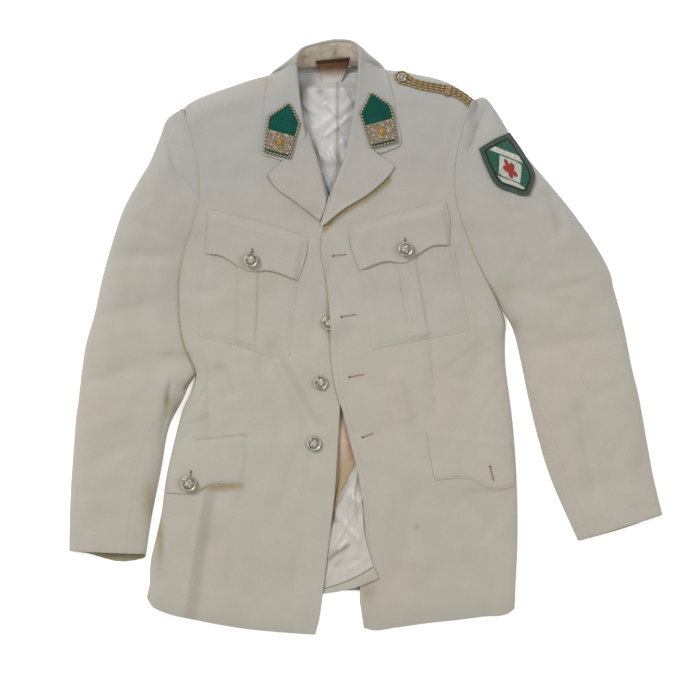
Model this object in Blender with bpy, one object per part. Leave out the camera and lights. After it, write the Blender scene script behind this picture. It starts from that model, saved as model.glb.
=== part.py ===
"""Dress uniform jacket lying on its back, buttoned front upward.

Every cloth piece is a thin wall laid where the sewn jacket has it.
Tables are in millimetres, X across, Y towards the collar, Z up from the floor.
"Right" and "left" are the wearer's, so the right side lies at negative X.
"""
import math
from collections import namedtuple
from functools import partial

import bpy
import numpy as np

MM = 0.001

# Walls and clearances
CLOTH = 2.0
THIN = 1.5
LINING = 1.0
GAP = 0.3
SEAM = 0.7
EDGE = 2.6
SHOULDER_EDGE = 3.9
BACK_INSET = 3.0
FLOOR_ROUND = 3.2

# Roll radii of the folded cloth at the outline
SIDE_ROLL = 24.0
SHOULDER_ROLL = 26.0
HEM_ROLL = 8.0
SLEEVE_ROLL = 34.0
LAPEL_ROLL = 7.0

Point = namedtuple("Point", "x y")
Section = namedtuple("Section", "out_x out_y in_x in_y loft seam")
Loft = namedtuple("Loft", "y side middle centre")
Fold = namedtuple("Fold", "x0 y0 x1 y1 width depth")
Band = namedtuple("Band", "x y z out_x out_y out_z")

# Sleeves: a row per section from the shoulder point to the cuff.
# "seam" is how far the forearm seam lies inside the inner edge.
SLEEVE_RIGHT = [
    Section(-252, 288.5, -238.5, 295.5, 8, 0),
    Section(-260, 280, -233.5, 282, 14, 0),
    Section(-269, 256, -227, 265, 20, 0),
    Section(-281, 227, -220.5, 238, 24, 0),
    Section(-297, 200, -216, 207, 26, 0),
    Section(-315, 166, -217, 172, 26, 0),
    Section(-330, 122, -226.5, 137, 25, 0),
    Section(-343, 75, -237, 104, 23, 0),
    Section(-352, 33, -243, 66, 22, 0),
    Section(-364, -10, -243.5, 20, 21, 0),
    Section(-369, -42, -236.5, -18, 20, 0),
    Section(-372, -66, -225.5, -45, 20, 0),
    Section(-374, -84, -230.5, -64, 19.5, 0),
    Section(-377, -106, -244, -80, 19, 2.5),
    Section(-380, -145, -261, -118, 18, 26),
    Section(-383, -190, -266, -172, 16, 31),
    Section(-385, -235, -278, -232, 14.5, 28),
    Section(-385.5, -277, -286, -281, 13.5, 25),
]
SLEEVE_LEFT = [
    Section(151, 311.5, 137, 305, 8, 0),
    Section(158, 308, 131, 290, 13, 0),
    Section(171, 290, 125, 269, 19, 0),
    Section(188, 262, 118, 243, 24, 0),
    Section(210, 232, 114, 212, 26, 0),
    Section(240, 197, 116, 178, 26, 0),
    Section(270, 160, 125, 147, 25, 0),
    Section(297, 121, 138, 112, 24, 0),
    Section(316, 86, 156, 74, 22, 0),
    Section(322, 62, 165, 60, 21, 0),
    Section(330, 34, 176, 36, 21, 0),
    Section(337, 4, 190.5, 10, 20, 0),
    Section(345, -38, 201, -32, 19, 0),
    Section(355, -80, 210, -76, 18, 5),
    Section(364, -130, 223, -130, 16, 20),
    Section(373, -180, 241, -187, 14.5, 20),
    Section(385, -230, 275, -264, 13.5, 17),
]
CAP_ROWS = 8
# The armhole seam closes into a tube from this row number, over this many rows
CAP_CLOSE = (6.8, 1.4)

# The right cuff's underside reaches past its upper edge: how far, where across, how wide
Lip = namedtuple("Lip", "reach place spread")
LIP_RIGHT = Lip(11.0, 0.68, 0.36)
LIP_LEFT = Lip(2.0, 0.5, 0.4)

# The two pieces of a sleeve meet underneath, this far in from the outer edge
UNDER_REACH = 22.0
UNDER_SHARE = 0.3
UPPER_COLUMNS = 14
UNDER_COLUMNS = 11
UNDER_TAIL = 6

# Outline of the fronts and back, from the hem upward
SIDE_RIGHT = [
    Point(-281, -322), Point(-280, -295), Point(-273, -262), Point(-266, -230),
    Point(-260, -185), Point(-250, -139), Point(-237, -92), Point(-226.5, -68),
    Point(-221.5, -48), Point(-226, -32), Point(-234, -12), Point(-240.5, 20),
    Point(-241.5, 45), Point(-243, 66),
]
SIDE_LEFT = [
    Point(194, -322), Point(196, -285), Point(196.5, -212), Point(194, -155),
    Point(190, -108), Point(185.5, -72), Point(181, -35), Point(180.5, -5),
    Point(181, 18), Point(171.5, 44), Point(156, 74),
]
FOOT_RIGHT = Point(-285, -338)
FOOT_LEFT = Point(193, -352)
SHOULDER_RIGHT = [
    Point(-238.5, 295.5), Point(-232.5, 301), Point(-225, 305.5), Point(-212, 311.5), Point(-177, 324),
    Point(-144, 335), Point(-118, 342), Point(-103, 350), Point(-91, 355),
]
SHOULDER_LEFT = [
    Point(137, 305), Point(125, 319), Point(112, 327), Point(98, 333), Point(68, 340),
    Point(42, 345), Point(23, 347), Point(14, 350), Point(3, 355), Point(-6, 356),
]
HEM_RIGHT = [
    Point(-285, -338), Point(-277, -350), Point(-262, -357), Point(-218, -367.5),
    Point(-151, -379), Point(-115, -382.5), Point(-66, -386),
]
HEM_LEFT = [
    Point(193, -352), Point(186, -357.5), Point(152, -362.5), Point(117, -367),
    Point(79, -371), Point(37, -377), Point(8, -380), Point(-3, -377),
]
# Front edges from the hem to the neck; the upper right one is hidden under the left
FRONT_RIGHT = [
    Point(-66, -386), Point(-63, -373), Point(-57, -333), Point(-49, -266), Point(-42, -208),
    Point(-38, -151), Point(-34, -86), Point(-30, -40), Point(-25, 20), Point(-22, 98),
    Point(-32, 140), Point(-47, 176), Point(-57, 205), Point(-66, 227), Point(-75, 252),
    Point(-83, 290), Point(-88, 325), Point(-91, 355),
]
FRONT_LEFT = [
    Point(-3, -377), Point(-6.5, -355), Point(-7, -324), Point(-4, -285), Point(-3, -245),
    Point(-4.5, -212), Point(-9, -179), Point(-21, -131), Point(-30, -95), Point(-38, -70),
    Point(-44, -30), Point(-46, 25), Point(-51, 75), Point(-57.5, 114), Point(-54, 140),
    Point(-49, 160), Point(-41, 182), Point(-32, 205), Point(-24, 226), Point(-18, 254),
    Point(-9, 300), Point(-6, 356),
]
NECK_SEAM = [Point(-91, 352), Point(-70, 350), Point(-47, 350), Point(-25, 350), Point(-6, 353)]
BACK_HEM = [Point(-281, -322), Point(-151, -328), Point(-47, -329), Point(83, -326), Point(194, -322)]

# Height of the fronts over the floor, from the side seam to the centre
LOFT = [
    Loft(-386, 3.6, 3.8, 3.6),
    Loft(-345, 5.5, 6.2, 5.5),
    Loft(-250, 8.5, 9.5, 8.6),
    Loft(-150, 10, 13, 12),
    Loft(-50, 11, 16, 15),
    Loft(60, 15, 20, 19),
    Loft(150, 22, 25, 23),
    Loft(230, 26, 28, 25),
    Loft(300, 25, 26, 24),
    Loft(384, 16, 17, 18),
]
CENTRE_X = -45.0
HALF_WIDTH = 190.0
ARMHOLE_OPEN = (62.0, 120.0)
EDGE_CHANGE = (22.0, 30.0)
HEM_REST = 0.4

# The left front laps over the right one
LAP = CLOTH + 0.5
LAP_FULL = 38.0
LAP_FADE = 34.0
LAP_SPAN = ((-125.0, 0.0), (-92.0, 1.0), (188.0, 1.0), (226.0, 0.0))

# The left front rises over the half-hidden button
Bump = namedtuple("Bump", "x y wide rise")
BUTTON_BUMP = Bump(-43.0, 18.0, 19.0, 6.2)

# Large folds of the laid cloth
FOLDS_RIGHT = [
    Fold(-205, -196, -224, -268, 11, -3.2),
    Fold(-224, -268, -226, -350, 11, -2.2),
    Fold(-116, -25, -75, -107, 15, -2.8),
    Fold(-135, -44, -110, -118, 13, -2.0),
    Fold(-188, -43, -178, -74, 13, -2.2),
    Fold(-205, -48, -205, -122, 9, -1.8),
    Fold(-222, -72, -214, -100, 12, 2.2),
    Fold(-226, 120, -205, 60, 22, -2.6),
]
FOLDS_LEFT = [
    Fold(168, -10, 91, -59, 15, -3.0),
    Fold(156, -22, 134, -55, 12, -2.2),
    Fold(40, -55, 53, -101, 13, 2.0),
    Fold(84, -8, 89, -88, 8, -1.6),
    Fold(129, -212, 161, -245, 18, -1.6),
    Fold(60, -205, 40, -300, 24, -1.4),
    Fold(132, 130, 118, 60, 22, -2.6),
]
FOLDS_SLEEVE_RIGHT = [
    Fold(-260, 270, -233, 197, 10, -3.0),
    Fold(-290, 205, -284, 180, 9, -2.0),
    Fold(-350, 108, -262, 100, 16, -2.6),
    Fold(-340, 30, -262, 48, 20, -2.4),
    Fold(-372, -60, -262, -28, 22, -2.0),
    Fold(-350, -150, -300, -130, 20, -1.6),
    Fold(-330, 60, -330, -20, 24, 1.8),
]
FOLDS_SLEEVE_LEFT = [
    Fold(156, 294, 136, 245, 10, -2.6),
    Fold(172, 201, 194, 164, 12, -2.8),
    Fold(239, 182, 250, 138, 13, -3.0),
    Fold(257, 77, 280, 84, 13, 2.4),
    Fold(280, -102, 297, -188, 16, -2.6),
    Fold(205, -20, 320, 2, 22, -2.2),
    Fold(250, 30, 318, 46, 16, -1.8),
]


def hermite(points, knots, at):
    """Smooth curve through the points, read at the given knot values."""
    slopes = np.gradient(points, knots, axis=0)
    index = np.clip(np.searchsorted(knots, at, side="right") - 1, 0, len(knots) - 2)
    step = (knots[index + 1] - knots[index])[:, None]
    s = ((at - knots[index])[:, None]) / step
    keep = 2 * s ** 3 - 3 * s ** 2 + 1
    rise = s ** 3 - 2 * s ** 2 + s
    lead = s ** 3 - s ** 2
    start, end = points[index], points[index + 1]
    return keep * start + rise * step * slopes[index] + (1 - keep) * end + lead * step * slopes[index + 1]


def table(rows, at):
    """Rows of a section table read at fractional row numbers."""
    data = np.array(rows, float)
    return hermite(data, np.arange(len(data), dtype=float), np.asarray(at, float))


def lengths(points):
    """Distance along a polyline at each of its points."""
    step = np.linalg.norm(np.diff(points, axis=0), axis=1)
    return np.concatenate([[0.0], np.cumsum(step)])


def resample(points, at):
    """Points of a polyline at fractions of its length."""
    run = lengths(points)
    where = np.asarray(at) * run[-1]
    return np.stack([np.interp(where, run, column) for column in points.T], axis=1)


def curve(rows, count=240):
    """Evenly spaced points of a smooth curve through the rows."""
    data = np.array(rows, float)
    knots = lengths(data)
    dense = hermite(data, knots, np.linspace(0.0, knots[-1], count * 2))
    return resample(dense, np.linspace(0.0, 1.0, count))


def patch(west, east, south, north, across):
    """Grid between four boundary curves; west and east already hold the rows."""
    up = lengths(west) / lengths(west)[-1]
    right = resample(east, up)
    low = resample(south, across)
    high = resample(north, across)
    u = np.asarray(across)[None, :, None]
    v = up[:, None, None]
    ruled = (1 - u) * west[:, None, :] + u * right[:, None, :]
    crossed = (1 - v) * low[None, :, :] + v * high[None, :, :]
    corners = (1 - v) * ((1 - u) * low[0] + u * low[-1]) + v * ((1 - u) * high[0] + u * high[-1])
    return ruled + crossed - corners


def eased(count, pull):
    """Fractions from 0 to 1, drawn closer together at the start by the pull."""
    s = np.linspace(0.0, 1.0, count)
    return (1 - pull) * s + pull * (1 - np.cos(s * math.pi / 2))


def roll(distance, radius):
    """Quarter-round rise from 0 at the edge to 1 at the radius."""
    s = np.clip(distance / radius, 0.0, 1.0)
    return np.sqrt(np.clip(1.0 - (1.0 - s) ** 2, 0.0, 1.0))


def smooth(value):
    """Soft step from 0 to 1."""
    s = np.clip(value, 0.0, 1.0)
    return s * s * (3 - 2 * s)


def folded(x, y, folds):
    """Sum of the soft troughs and ridges at each place."""
    total = np.zeros_like(x)
    for fold in folds:
        run_x, run_y = fold.x1 - fold.x0, fold.y1 - fold.y0
        length = math.hypot(run_x, run_y)
        along = ((x - fold.x0) * run_x + (y - fold.y0) * run_y) / length
        off = ((x - fold.x0) * run_y - (y - fold.y0) * run_x) / length
        fade = length / 3
        ends = smooth((along + fade) / fade) * smooth((length + fade - along) / fade)
        total = total + fold.depth * np.exp(-(off / fold.width) ** 2) * ends
    return total


def cap(rows, at):
    """Points of the armhole seam, the inner ends of the first sleeve sections."""
    return table(rows, at)[:, 2:4]


CAP_AT = np.linspace(CAP_ROWS, 0.0, 11)
ARM_RIGHT = cap(SLEEVE_RIGHT, CAP_AT)
ARM_LEFT = cap(SLEEVE_LEFT, CAP_AT)
BACK_EDGE_RIGHT = np.vstack([curve(SIDE_RIGHT, 13)[:-1], ARM_RIGHT])
BACK_EDGE_LEFT = np.vstack([curve(SIDE_LEFT, 13)[:-1], ARM_LEFT])
FRONT_OUTER_RIGHT = np.vstack([[FOOT_RIGHT], BACK_EDGE_RIGHT])
FRONT_OUTER_LEFT = np.vstack([[FOOT_LEFT], BACK_EDGE_LEFT])

Side = namedtuple("Side", "sign outer shoulder hem front folds lap sleeve sleeve_folds lip")
RIGHT = Side(
    1, FRONT_OUTER_RIGHT, curve(SHOULDER_RIGHT), curve(HEM_RIGHT), curve(FRONT_RIGHT),
    FOLDS_RIGHT, 0.0, SLEEVE_RIGHT, FOLDS_SLEEVE_RIGHT, LIP_RIGHT,
)
LEFT = Side(
    -1, FRONT_OUTER_LEFT, curve(SHOULDER_LEFT), curve(HEM_LEFT), curve(FRONT_LEFT),
    FOLDS_LEFT, LAP, SLEEVE_LEFT, FOLDS_SLEEVE_LEFT, LIP_LEFT,
)


def read(points, column, at):
    """One coordinate of a curve read at values of the other."""
    other = 1 - column
    order = np.argsort(points[:, other])
    return np.interp(at, points[order, other], points[order, column])


def body_loft(x, y):
    """Height of the upper layer before its edges turn down."""
    rows = np.array(LOFT, float)
    side = np.interp(y, rows[:, 0], rows[:, 1])
    middle = np.interp(y, rows[:, 0], rows[:, 2])
    centre = np.interp(y, rows[:, 0], rows[:, 3])
    s = np.clip(np.abs(x - CENTRE_X) / HALF_WIDTH, 0.0, 1.0)
    return centre * (1 - s) * (1 - 2 * s) + middle * 4 * s * (1 - s) + side * s * (2 * s - 1)


def front_height(side, x, y):
    """Height of the outer face of a front."""
    from_side = np.maximum((x - read(side.outer, 0, y)) * side.sign, 0.0)
    from_top = np.maximum(read(side.shoulder, 1, x) - y, 0.0)
    from_hem = np.maximum(y - read(side.hem, 1, x), 0.0)
    low, high = ARMHOLE_OPEN
    start, span = EDGE_CHANGE
    edge = EDGE + (SHOULDER_EDGE - EDGE) * smooth((y - start) / span)
    closed = 1.0 - smooth((y - low) / (high - low))
    turn = (1 - closed * (1 - roll(from_side, SIDE_ROLL))) * roll(from_top, SHOULDER_ROLL)
    turn = turn * (HEM_REST + (1 - HEM_REST) * roll(from_hem, HEM_ROLL))
    height = edge + (body_loft(x, y) + folded(x, y, side.folds) - edge) * turn
    if side.lap:
        from_front = x - read(side.front, 0, y)
        span = np.array(LAP_SPAN)
        shown = np.interp(y, span[:, 0], span[:, 1])
        height = height + side.lap * shown * (1 - smooth((from_front - LAP_FULL) / LAP_FADE))
        away = (x - BUTTON_BUMP.x) ** 2 + (y - BUTTON_BUMP.y) ** 2
        height = height + BUTTON_BUMP.rise * np.exp(-away / BUTTON_BUMP.wide ** 2)
    return np.maximum(height, edge)


def sleeve_at(side, rows_at):
    """Outer and inner ends, height, seam place and inner height of sections."""
    data = table(side.sleeve, rows_at)
    outer, inner = data[:, 0:2], data[:, 2:4]
    low = front_height(side, inner[:, 0], inner[:, 1])
    start, span = CAP_CLOSE
    shut = smooth((np.asarray(rows_at) - start) / span)
    low = low * (1 - shut) + FLOOR_ROUND * shut
    return outer, inner, data[:, 4], data[:, 5], np.maximum(low, FLOOR_ROUND)


def sleeve_height(side, x, y, from_outer, width, loft, low):
    """Height of the sleeve's upper face at a distance from its outer edge."""
    reach = np.minimum(SLEEVE_ROLL, width * 0.5)
    rise = roll(from_outer, reach)
    s = (width - from_outer) / reach
    attached = np.clip((low - FLOOR_ROUND) / np.maximum(loft - FLOOR_ROUND, 1.0), 0.0, 1.0)
    inward = (1 - attached) * roll(s, 1.0) + attached * smooth(s)
    inner = low + (loft - low) * inward
    turn = np.clip((inner - FLOOR_ROUND) / np.maximum(loft - FLOOR_ROUND, 1.0), 0.0, 1.5)
    fold = folded(x, y, side.sleeve_folds) * np.minimum(rise, inward)
    return FLOOR_ROUND + (loft - FLOOR_ROUND) * rise * turn + fold


def sleeve_rings(side, rows_at, upper, count):
    """Rings of one sleeve piece: the upper with the outer edge, or the under one."""
    outer, inner, loft, seam, low = sleeve_at(side, rows_at)
    rings = []
    for i, at in enumerate(rows_at):
        width = float(np.linalg.norm(inner[i] - outer[i]))
        way = (inner[i] - outer[i]) / width
        hidden = max(min(UNDER_REACH, UNDER_SHARE * width), FLOOR_ROUND + THIN)
        turn = np.linspace(0.0, math.pi / 2, 7)
        arc_in, arc_up = FLOOR_ROUND * (1 - np.cos(turn)), FLOOR_ROUND * (1 - np.sin(turn))
        if upper:
            start = width - max(seam[i], 0.0) - (SEAM if at < CAP_ROWS else GAP)
            over = start * np.cos(np.linspace(0.0, math.pi / 2, 60))
        else:
            start = width if seam[i] < 1.0 else width - seam[i] + 2 * GAP
            over = np.linspace(start, width, 20)
        place = outer[i] + over[:, None] * way
        high = sleeve_height(side, place[:, 0], place[:, 1], over, width, loft[i], low[i])
        top = np.column_stack([over, high])
        if upper:
            bottom = np.linspace(FLOOR_ROUND, hidden, 5)
            arc = np.column_stack([arc_in, arc_up])
            path = [top, arc[1:], np.column_stack([bottom, 0 * bottom])[1:]]
            tail = 0
        else:
            near = width - (SEAM if at < CAP_ROWS else 0.0)
            top = top[top[:, 0] < width - 1e-6] if seam[i] >= 1.0 else top[:0]
            arc = np.column_stack([near - arc_in, arc_up])
            bottom = np.linspace(near - FLOOR_ROUND, hidden + GAP, 9)
            path = [top, arc, np.column_stack([bottom, 0 * bottom])[1:]]
            tail = UNDER_TAIL
        if tail:
            bend = np.vstack(path[:2])
            bend = resample(bend, np.linspace(0.0, 1.0, count - tail))
            flat = resample(path[2], np.linspace(0.0, 1.0, tail + 1))[1:]
            under = resample(np.vstack([bend[-1:], flat]), np.linspace(0, 1, tail + 1))
            section = np.vstack([bend, under[1:]])
        else:
            section = resample(np.vstack(path), np.linspace(0.0, 1.0, count))
        place = outer[i] + section[:, :1] * way
        lower = 1 - smooth(section[:, 1] / (0.5 * loft[i]))
        across = np.exp(-((section[:, 0] / width - side.lip.place) / side.lip.spread) ** 2)
        longer = side.lip.reach * smooth(at - len(side.sleeve) + 2) * lower * across
        ahead = side.sign * np.array([way[1], -way[0]])
        place = place + longer[:, None] * ahead
        rings.append(np.column_stack([place, section[:, 1]]))
    return np.array(rings)


def sleeve_rows(side, count):
    """Row numbers of a sleeve: the cap's, matched to the armhole, and then its tube's."""
    return np.concatenate([CAP_AT[::-1], np.linspace(CAP_ROWS, len(side.sleeve) - 1.0, count)[1:]])


def normals(grid):
    """Unit normals of a grid of points."""
    down = np.gradient(grid, axis=0)
    over = np.gradient(grid, axis=1)
    cross = np.cross(over, down)
    size = np.linalg.norm(cross, axis=2, keepdims=True)
    return cross / np.maximum(size, 1e-9)


def material(name, colour, roughness, metallic=0.0):
    """Principled material of one colour."""
    made = bpy.data.materials.new(name)
    made.use_nodes = True
    shader = made.node_tree.nodes["Principled BSDF"]
    shader.inputs["Base Color"].default_value = (*colour, 1.0)
    shader.inputs["Roughness"].default_value = roughness
    shader.inputs["Metallic"].default_value = metallic
    return made


def body(name, points, faces, finish):
    """Named mesh object in metres, in the jacket's collection."""
    mesh = bpy.data.meshes.new(name)
    mesh.from_pydata((np.asarray(points) * MM).tolist(), [], faces)
    mesh.validate()
    mesh.materials.append(finish)
    made = bpy.data.objects.new(name, mesh)
    JACKET.objects.link(made)
    return made


def wall(name, grid, thickness, finish, upward=True):
    """Thin closed wall under a grid that is the cloth's outer face."""
    facing = normals(grid)
    if upward and facing[..., 2].mean() < 0:
        facing = -facing
    inner = grid - facing * thickness
    inner[..., 2] = np.maximum(inner[..., 2], 0.0)
    return closed(name, grid, inner, finish)


def closed(name, outer, inner, finish):
    """Solid between two grids of the same size."""
    rows, columns = outer.shape[:2]
    points = np.vstack([outer.reshape(-1, 3), inner.reshape(-1, 3)])
    shift = rows * columns
    faces = []
    for i in range(rows - 1):
        for j in range(columns - 1):
            a = i * columns + j
            quad = (a, a + 1, a + columns + 1, a + columns)
            faces.append(quad)
            faces.append(tuple(k + shift for k in reversed(quad)))
    loop = [j for j in range(columns)]
    loop += [i * columns + columns - 1 for i in range(1, rows)]
    loop += [(rows - 1) * columns + j for j in range(columns - 2, -1, -1)]
    loop += [i * columns for i in range(rows - 2, 0, -1)]
    for k, a in enumerate(loop):
        b = loop[(k + 1) % len(loop)]
        faces.append((b, a, a + shift, b + shift))
    made = body(name, points, faces, finish)
    volume = signed_volume(points, faces)
    if volume < 0:
        made.data.flip_normals()
    return made


def signed_volume(points, faces):
    """Volume enclosed by the faces, negative when they look inward."""
    total = 0.0
    for face in faces:
        for k in range(1, len(face) - 1):
            total += np.dot(points[face[0]], np.cross(points[face[k]], points[face[k + 1]]))
    return total / 6.0


def laid(name, plan, height, low, thickness, finish, rise=None):
    """Piece on another: a plan grid moved out along the normals of what it lies on."""
    x, y = plan[..., 0], plan[..., 1]
    step = 0.5
    z = height(x, y)
    slope_x = np.clip((height(x + step, y) - height(x - step, y)) / (2 * step), -1.5, 1.5)
    slope_y = np.clip((height(x, y + step) - height(x, y - step)) / (2 * step), -1.5, 1.5)
    facing = np.stack([-slope_x, -slope_y, np.ones_like(z)], axis=-1)
    facing /= np.linalg.norm(facing, axis=-1, keepdims=True)
    base = np.stack([x, y, z + (0 if rise is None else rise)], axis=-1)
    return closed(name, base + facing * (low + thickness), base + facing * low, finish)


def region(west, east, south, north, rows, columns, bend=curve):
    """Plan grid inside four short boundary tables, each bent or left straight between its points."""
    left = resample(bend(west), np.linspace(0.0, 1.0, rows))
    return patch(left, bend(east), bend(south), bend(north), np.linspace(0.0, 1.0, columns))


def straight(rows):
    """Points of a boundary with straight sides."""
    return np.array(rows, float)


def quad(south_west, south_east, north_west, north_east, rows, columns):
    """Plan grid inside four corners."""
    return region(
        [south_west, north_west], [south_east, north_east],
        [south_west, south_east], [north_west, north_east], rows, columns,
    )


# A button's section: share of the radius, share of the thickness
BUTTON_PROFILE = [(1.0, 0.0), (1.0, 0.55), (0.86, 0.8), (0.5, 0.95)]
BUTTON_SIDES = 12


def button(name, x, y, z, radius, thickness, finish):
    """Domed round button with a turned-down rim."""
    sides = BUTTON_SIDES
    points, faces = [], []
    for share, rise in BUTTON_PROFILE:
        for k in range(sides):
            angle = 2 * math.pi * k / sides
            reach = radius * share
            points.append((x + reach * math.cos(angle), y + reach * math.sin(angle), z + thickness * rise))
    points.append((x, y, z + thickness))
    for ring in range(len(BUTTON_PROFILE) - 1):
        for k in range(sides):
            a, b = ring * sides + k, ring * sides + (k + 1) % sides
            faces.append((a, b, b + sides, a + sides))
    last = (len(BUTTON_PROFILE) - 1) * sides
    for k in range(sides):
        faces.append((last + k, last + (k + 1) % sides, len(points) - 1))
    faces.append(tuple(range(sides - 1, -1, -1)))
    return body(name, points, faces, finish)


def tube(name, line, radius, finish, sides=8):
    """Round cord along a line of points."""
    line = np.asarray(line, float)
    ahead = np.gradient(line, axis=0)
    ahead /= np.linalg.norm(ahead, axis=1, keepdims=True)
    across = np.cross(ahead, [0.0, 0.0, 1.0])
    across /= np.linalg.norm(across, axis=1, keepdims=True)
    upward = np.cross(across, ahead)
    points, faces = [], []
    for centre, side, up in zip(line, across, upward):
        for k in range(sides):
            angle = 2 * math.pi * k / sides
            points.append(centre + radius * (math.cos(angle) * side + math.sin(angle) * up))
    for i in range(len(line) - 1):
        for k in range(sides):
            a, b = i * sides + k, i * sides + (k + 1) % sides
            faces.append((a, b, b + sides, a + sides))
    faces.append(tuple(range(sides - 1, -1, -1)))
    faces.append(tuple((len(line) - 1) * sides + k for k in range(sides)))
    made = body(name, points, faces, finish)
    if signed_volume(np.array(points), faces) < 0:
        made.data.flip_normals()
    return made


for thing in list(bpy.data.objects):
    bpy.data.objects.remove(thing, do_unlink=True)

JACKET = bpy.data.collections.new("dress_uniform_jacket")
bpy.context.scene.collection.children.link(JACKET)

CREAM = material("cream_gabardine", (0.62, 0.59, 0.52), 0.85)
SATIN = material("white_satin_lining", (0.68, 0.67, 0.65), 0.45)
STAINED = material("stained_stand_cloth", (0.42, 0.34, 0.24), 0.85)
GREEN = material("green_felt", (0.01, 0.09, 0.06), 0.9)
LACE = material("silver_lace", (0.35, 0.29, 0.2), 0.5)
GOLD = material("gold_cord", (0.4, 0.27, 0.1), 0.5)
BRASS = material("brass_button", (0.6, 0.45, 0.22), 0.35, 1.0)
LABEL = material("brown_label", (0.18, 0.09, 0.05), 0.7)

# Back and its lining, the back just inside the fronts' turned side edges
INSET_FADE = (52.0, 25.0)


def inset(points, amount):
    """Side edge moved inward, fading out at the armhole."""
    moved = np.array(points, float)
    start, span = INSET_FADE
    moved[:, 0] += amount * (1 - smooth((moved[:, 1] - start) / span))
    return moved


back_plan = patch(
    inset(BACK_EDGE_RIGHT, BACK_INSET), inset(BACK_EDGE_LEFT, -BACK_INSET), curve(BACK_HEM),
    np.vstack([curve(SHOULDER_RIGHT), curve(NECK_SEAM)[1:-1], curve(SHOULDER_LEFT)[::-1]]),
    np.linspace(0.0, 1.0, 11),
)
back_top = np.concatenate([back_plan, np.full(back_plan.shape[:2] + (1,), THIN)], axis=2)
wall("back", back_top, THIN, CREAM)


FOLDS_LINING = [Fold(-13, 307, -60, 272, 5, 1.6), Fold(-15, 297, -54, 272, 4, -0.5)]
CENTRE_PLEAT = Fold(-41, 190, -41, 230, 5, 1.8)
LINING_SLACK = 0.2


def lining_height(x, y):
    """Upper face of the back lining, with its centre pleat."""
    across = (x - CENTRE_PLEAT.x0) / CENTRE_PLEAT.width
    grown = smooth((y - CENTRE_PLEAT.y0) / (CENTRE_PLEAT.y1 - CENTRE_PLEAT.y0))
    pleat = CENTRE_PLEAT.depth * np.exp(-across ** 2) * grown
    slant = np.maximum(folded(x, y, FOLDS_LINING), -LINING_SLACK)
    return THIN + GAP + LINING + LINING_SLACK + pleat + slant


lining_plan = quad(Point(-112, -285), Point(34, -285), Point(-110, 343), Point(20, 343), 20, 10)
lining_rise = lining_height(lining_plan[..., 0], lining_plan[..., 1])
lining_plan = np.concatenate([lining_plan, lining_rise[..., None]], axis=2)
wall("lining_back", lining_plan, LINING, SATIN)

# Fronts
FRONT_COLUMNS = 15
FRONT_PULL = 0.45
for label, side in (("right", RIGHT), ("left", LEFT)):
    across = eased(FRONT_COLUMNS, FRONT_PULL)
    plan = patch(side.outer, side.front, side.hem, side.shoulder, across)
    top = front_height(side, plan[..., 0], plan[..., 1])
    wall("front_" + label, np.concatenate([plan, top[..., None]], axis=2), CLOTH, CREAM)

# Two-piece sleeves
for label, side in (("right", RIGHT), ("left", LEFT)):
    sleeve_at_rows = sleeve_rows(side, 12)
    rings = sleeve_rings(side, sleeve_at_rows, True, UPPER_COLUMNS)
    out = normals(rings)
    out = out if (out[:, 6, 2]).mean() > 0 else -out
    closed("sleeve_upper_" + label, rings, rings - out * CLOTH, CREAM)
    rings = sleeve_rings(side, sleeve_at_rows, False, UNDER_COLUMNS)
    out = normals(rings)
    out = out if (out[:, -3, 2]).mean() < 0 else -out
    closed("sleeve_under_" + label, rings, rings - out * CLOTH, CREAM)


# Breast pockets with a box pleat, and the flaps over them
POCKETS = {
    "right": (
        [Point(-217, 1), Point(-204, 163)],
        [Point(-99, -24), Point(-96, 10), Point(-88, 70), Point(-77, 127)],
        [Point(-217, 1), Point(-166, -11), Point(-114, -26), Point(-99, -24)],
        [Point(-204, 163), Point(-77, 127)],
        (Point(-153, -22), Point(-150, 100), 14.0),
    ),
    "left": (
        [Point(8, -16), Point(-2, 60), Point(-21, 140)],
        [Point(134, 8), Point(119, 90), Point(103, 172)],
        [Point(8, -16), Point(56, -7), Point(83, -2), Point(134, 8)],
        [Point(-21, 140), Point(103, 172)],
        (Point(69.5, -4), Point(48, 100), 11.5),
    ),
}
BREAST_FLAPS = {
    "right": (
        [Point(-209, 108), Point(-204, 167)],
        [Point(-88, 73), Point(-78, 105), Point(-75, 130)],
        [
            Point(-209, 108), Point(-188, 105), Point(-166, 92), Point(-150, 85), Point(-128, 86),
            Point(-88, 73),
        ],
        [Point(-204, 167), Point(-141, 151), Point(-75, 130)],
    ),
    "left": (
        [Point(-9, 86), Point(-20, 120), Point(-22, 146)],
        [Point(108, 119), Point(109, 150), Point(102, 178)],
        [Point(-9, 86), Point(28, 98), Point(50, 96), Point(70, 109), Point(86, 118), Point(108, 119)],
        [Point(-22, 146), Point(36, 160), Point(102, 178)],
    ),
}
PLEAT_RISE = 1.4
PLEAT_EDGE = 4.0
POCKET_LIFT = 1.3
FLAP_LIFT = 0.9


def pocket_height(label, x, y):
    """Upper face of a breast pocket with its raised pleat."""
    foot, head, half = POCKETS[label][4]
    share = (y - foot.y) / (head.y - foot.y)
    centre = foot.x + (head.x - foot.x) * share
    raised = 1 - smooth((np.abs(x - centre) - half) / PLEAT_EDGE)
    side = RIGHT if label == "right" else LEFT
    return front_height(side, x, y) + POCKET_LIFT + CLOTH + PLEAT_RISE * raised


for label, side in (("right", RIGHT), ("left", LEFT)):
    west, east, south, north, pleat = POCKETS[label]
    plan = region(west, east, south, north, 9, 14)
    laid("pocket_breast_" + label, plan, partial(pocket_height, label), -CLOTH, CLOTH, CREAM)
    west, east, south, north = BREAST_FLAPS[label]
    plan = region(west, east, south, north, 6, 15)
    laid("flap_breast_" + label, plan, partial(pocket_height, label), FLAP_LIFT, CLOTH, CREAM)

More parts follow.
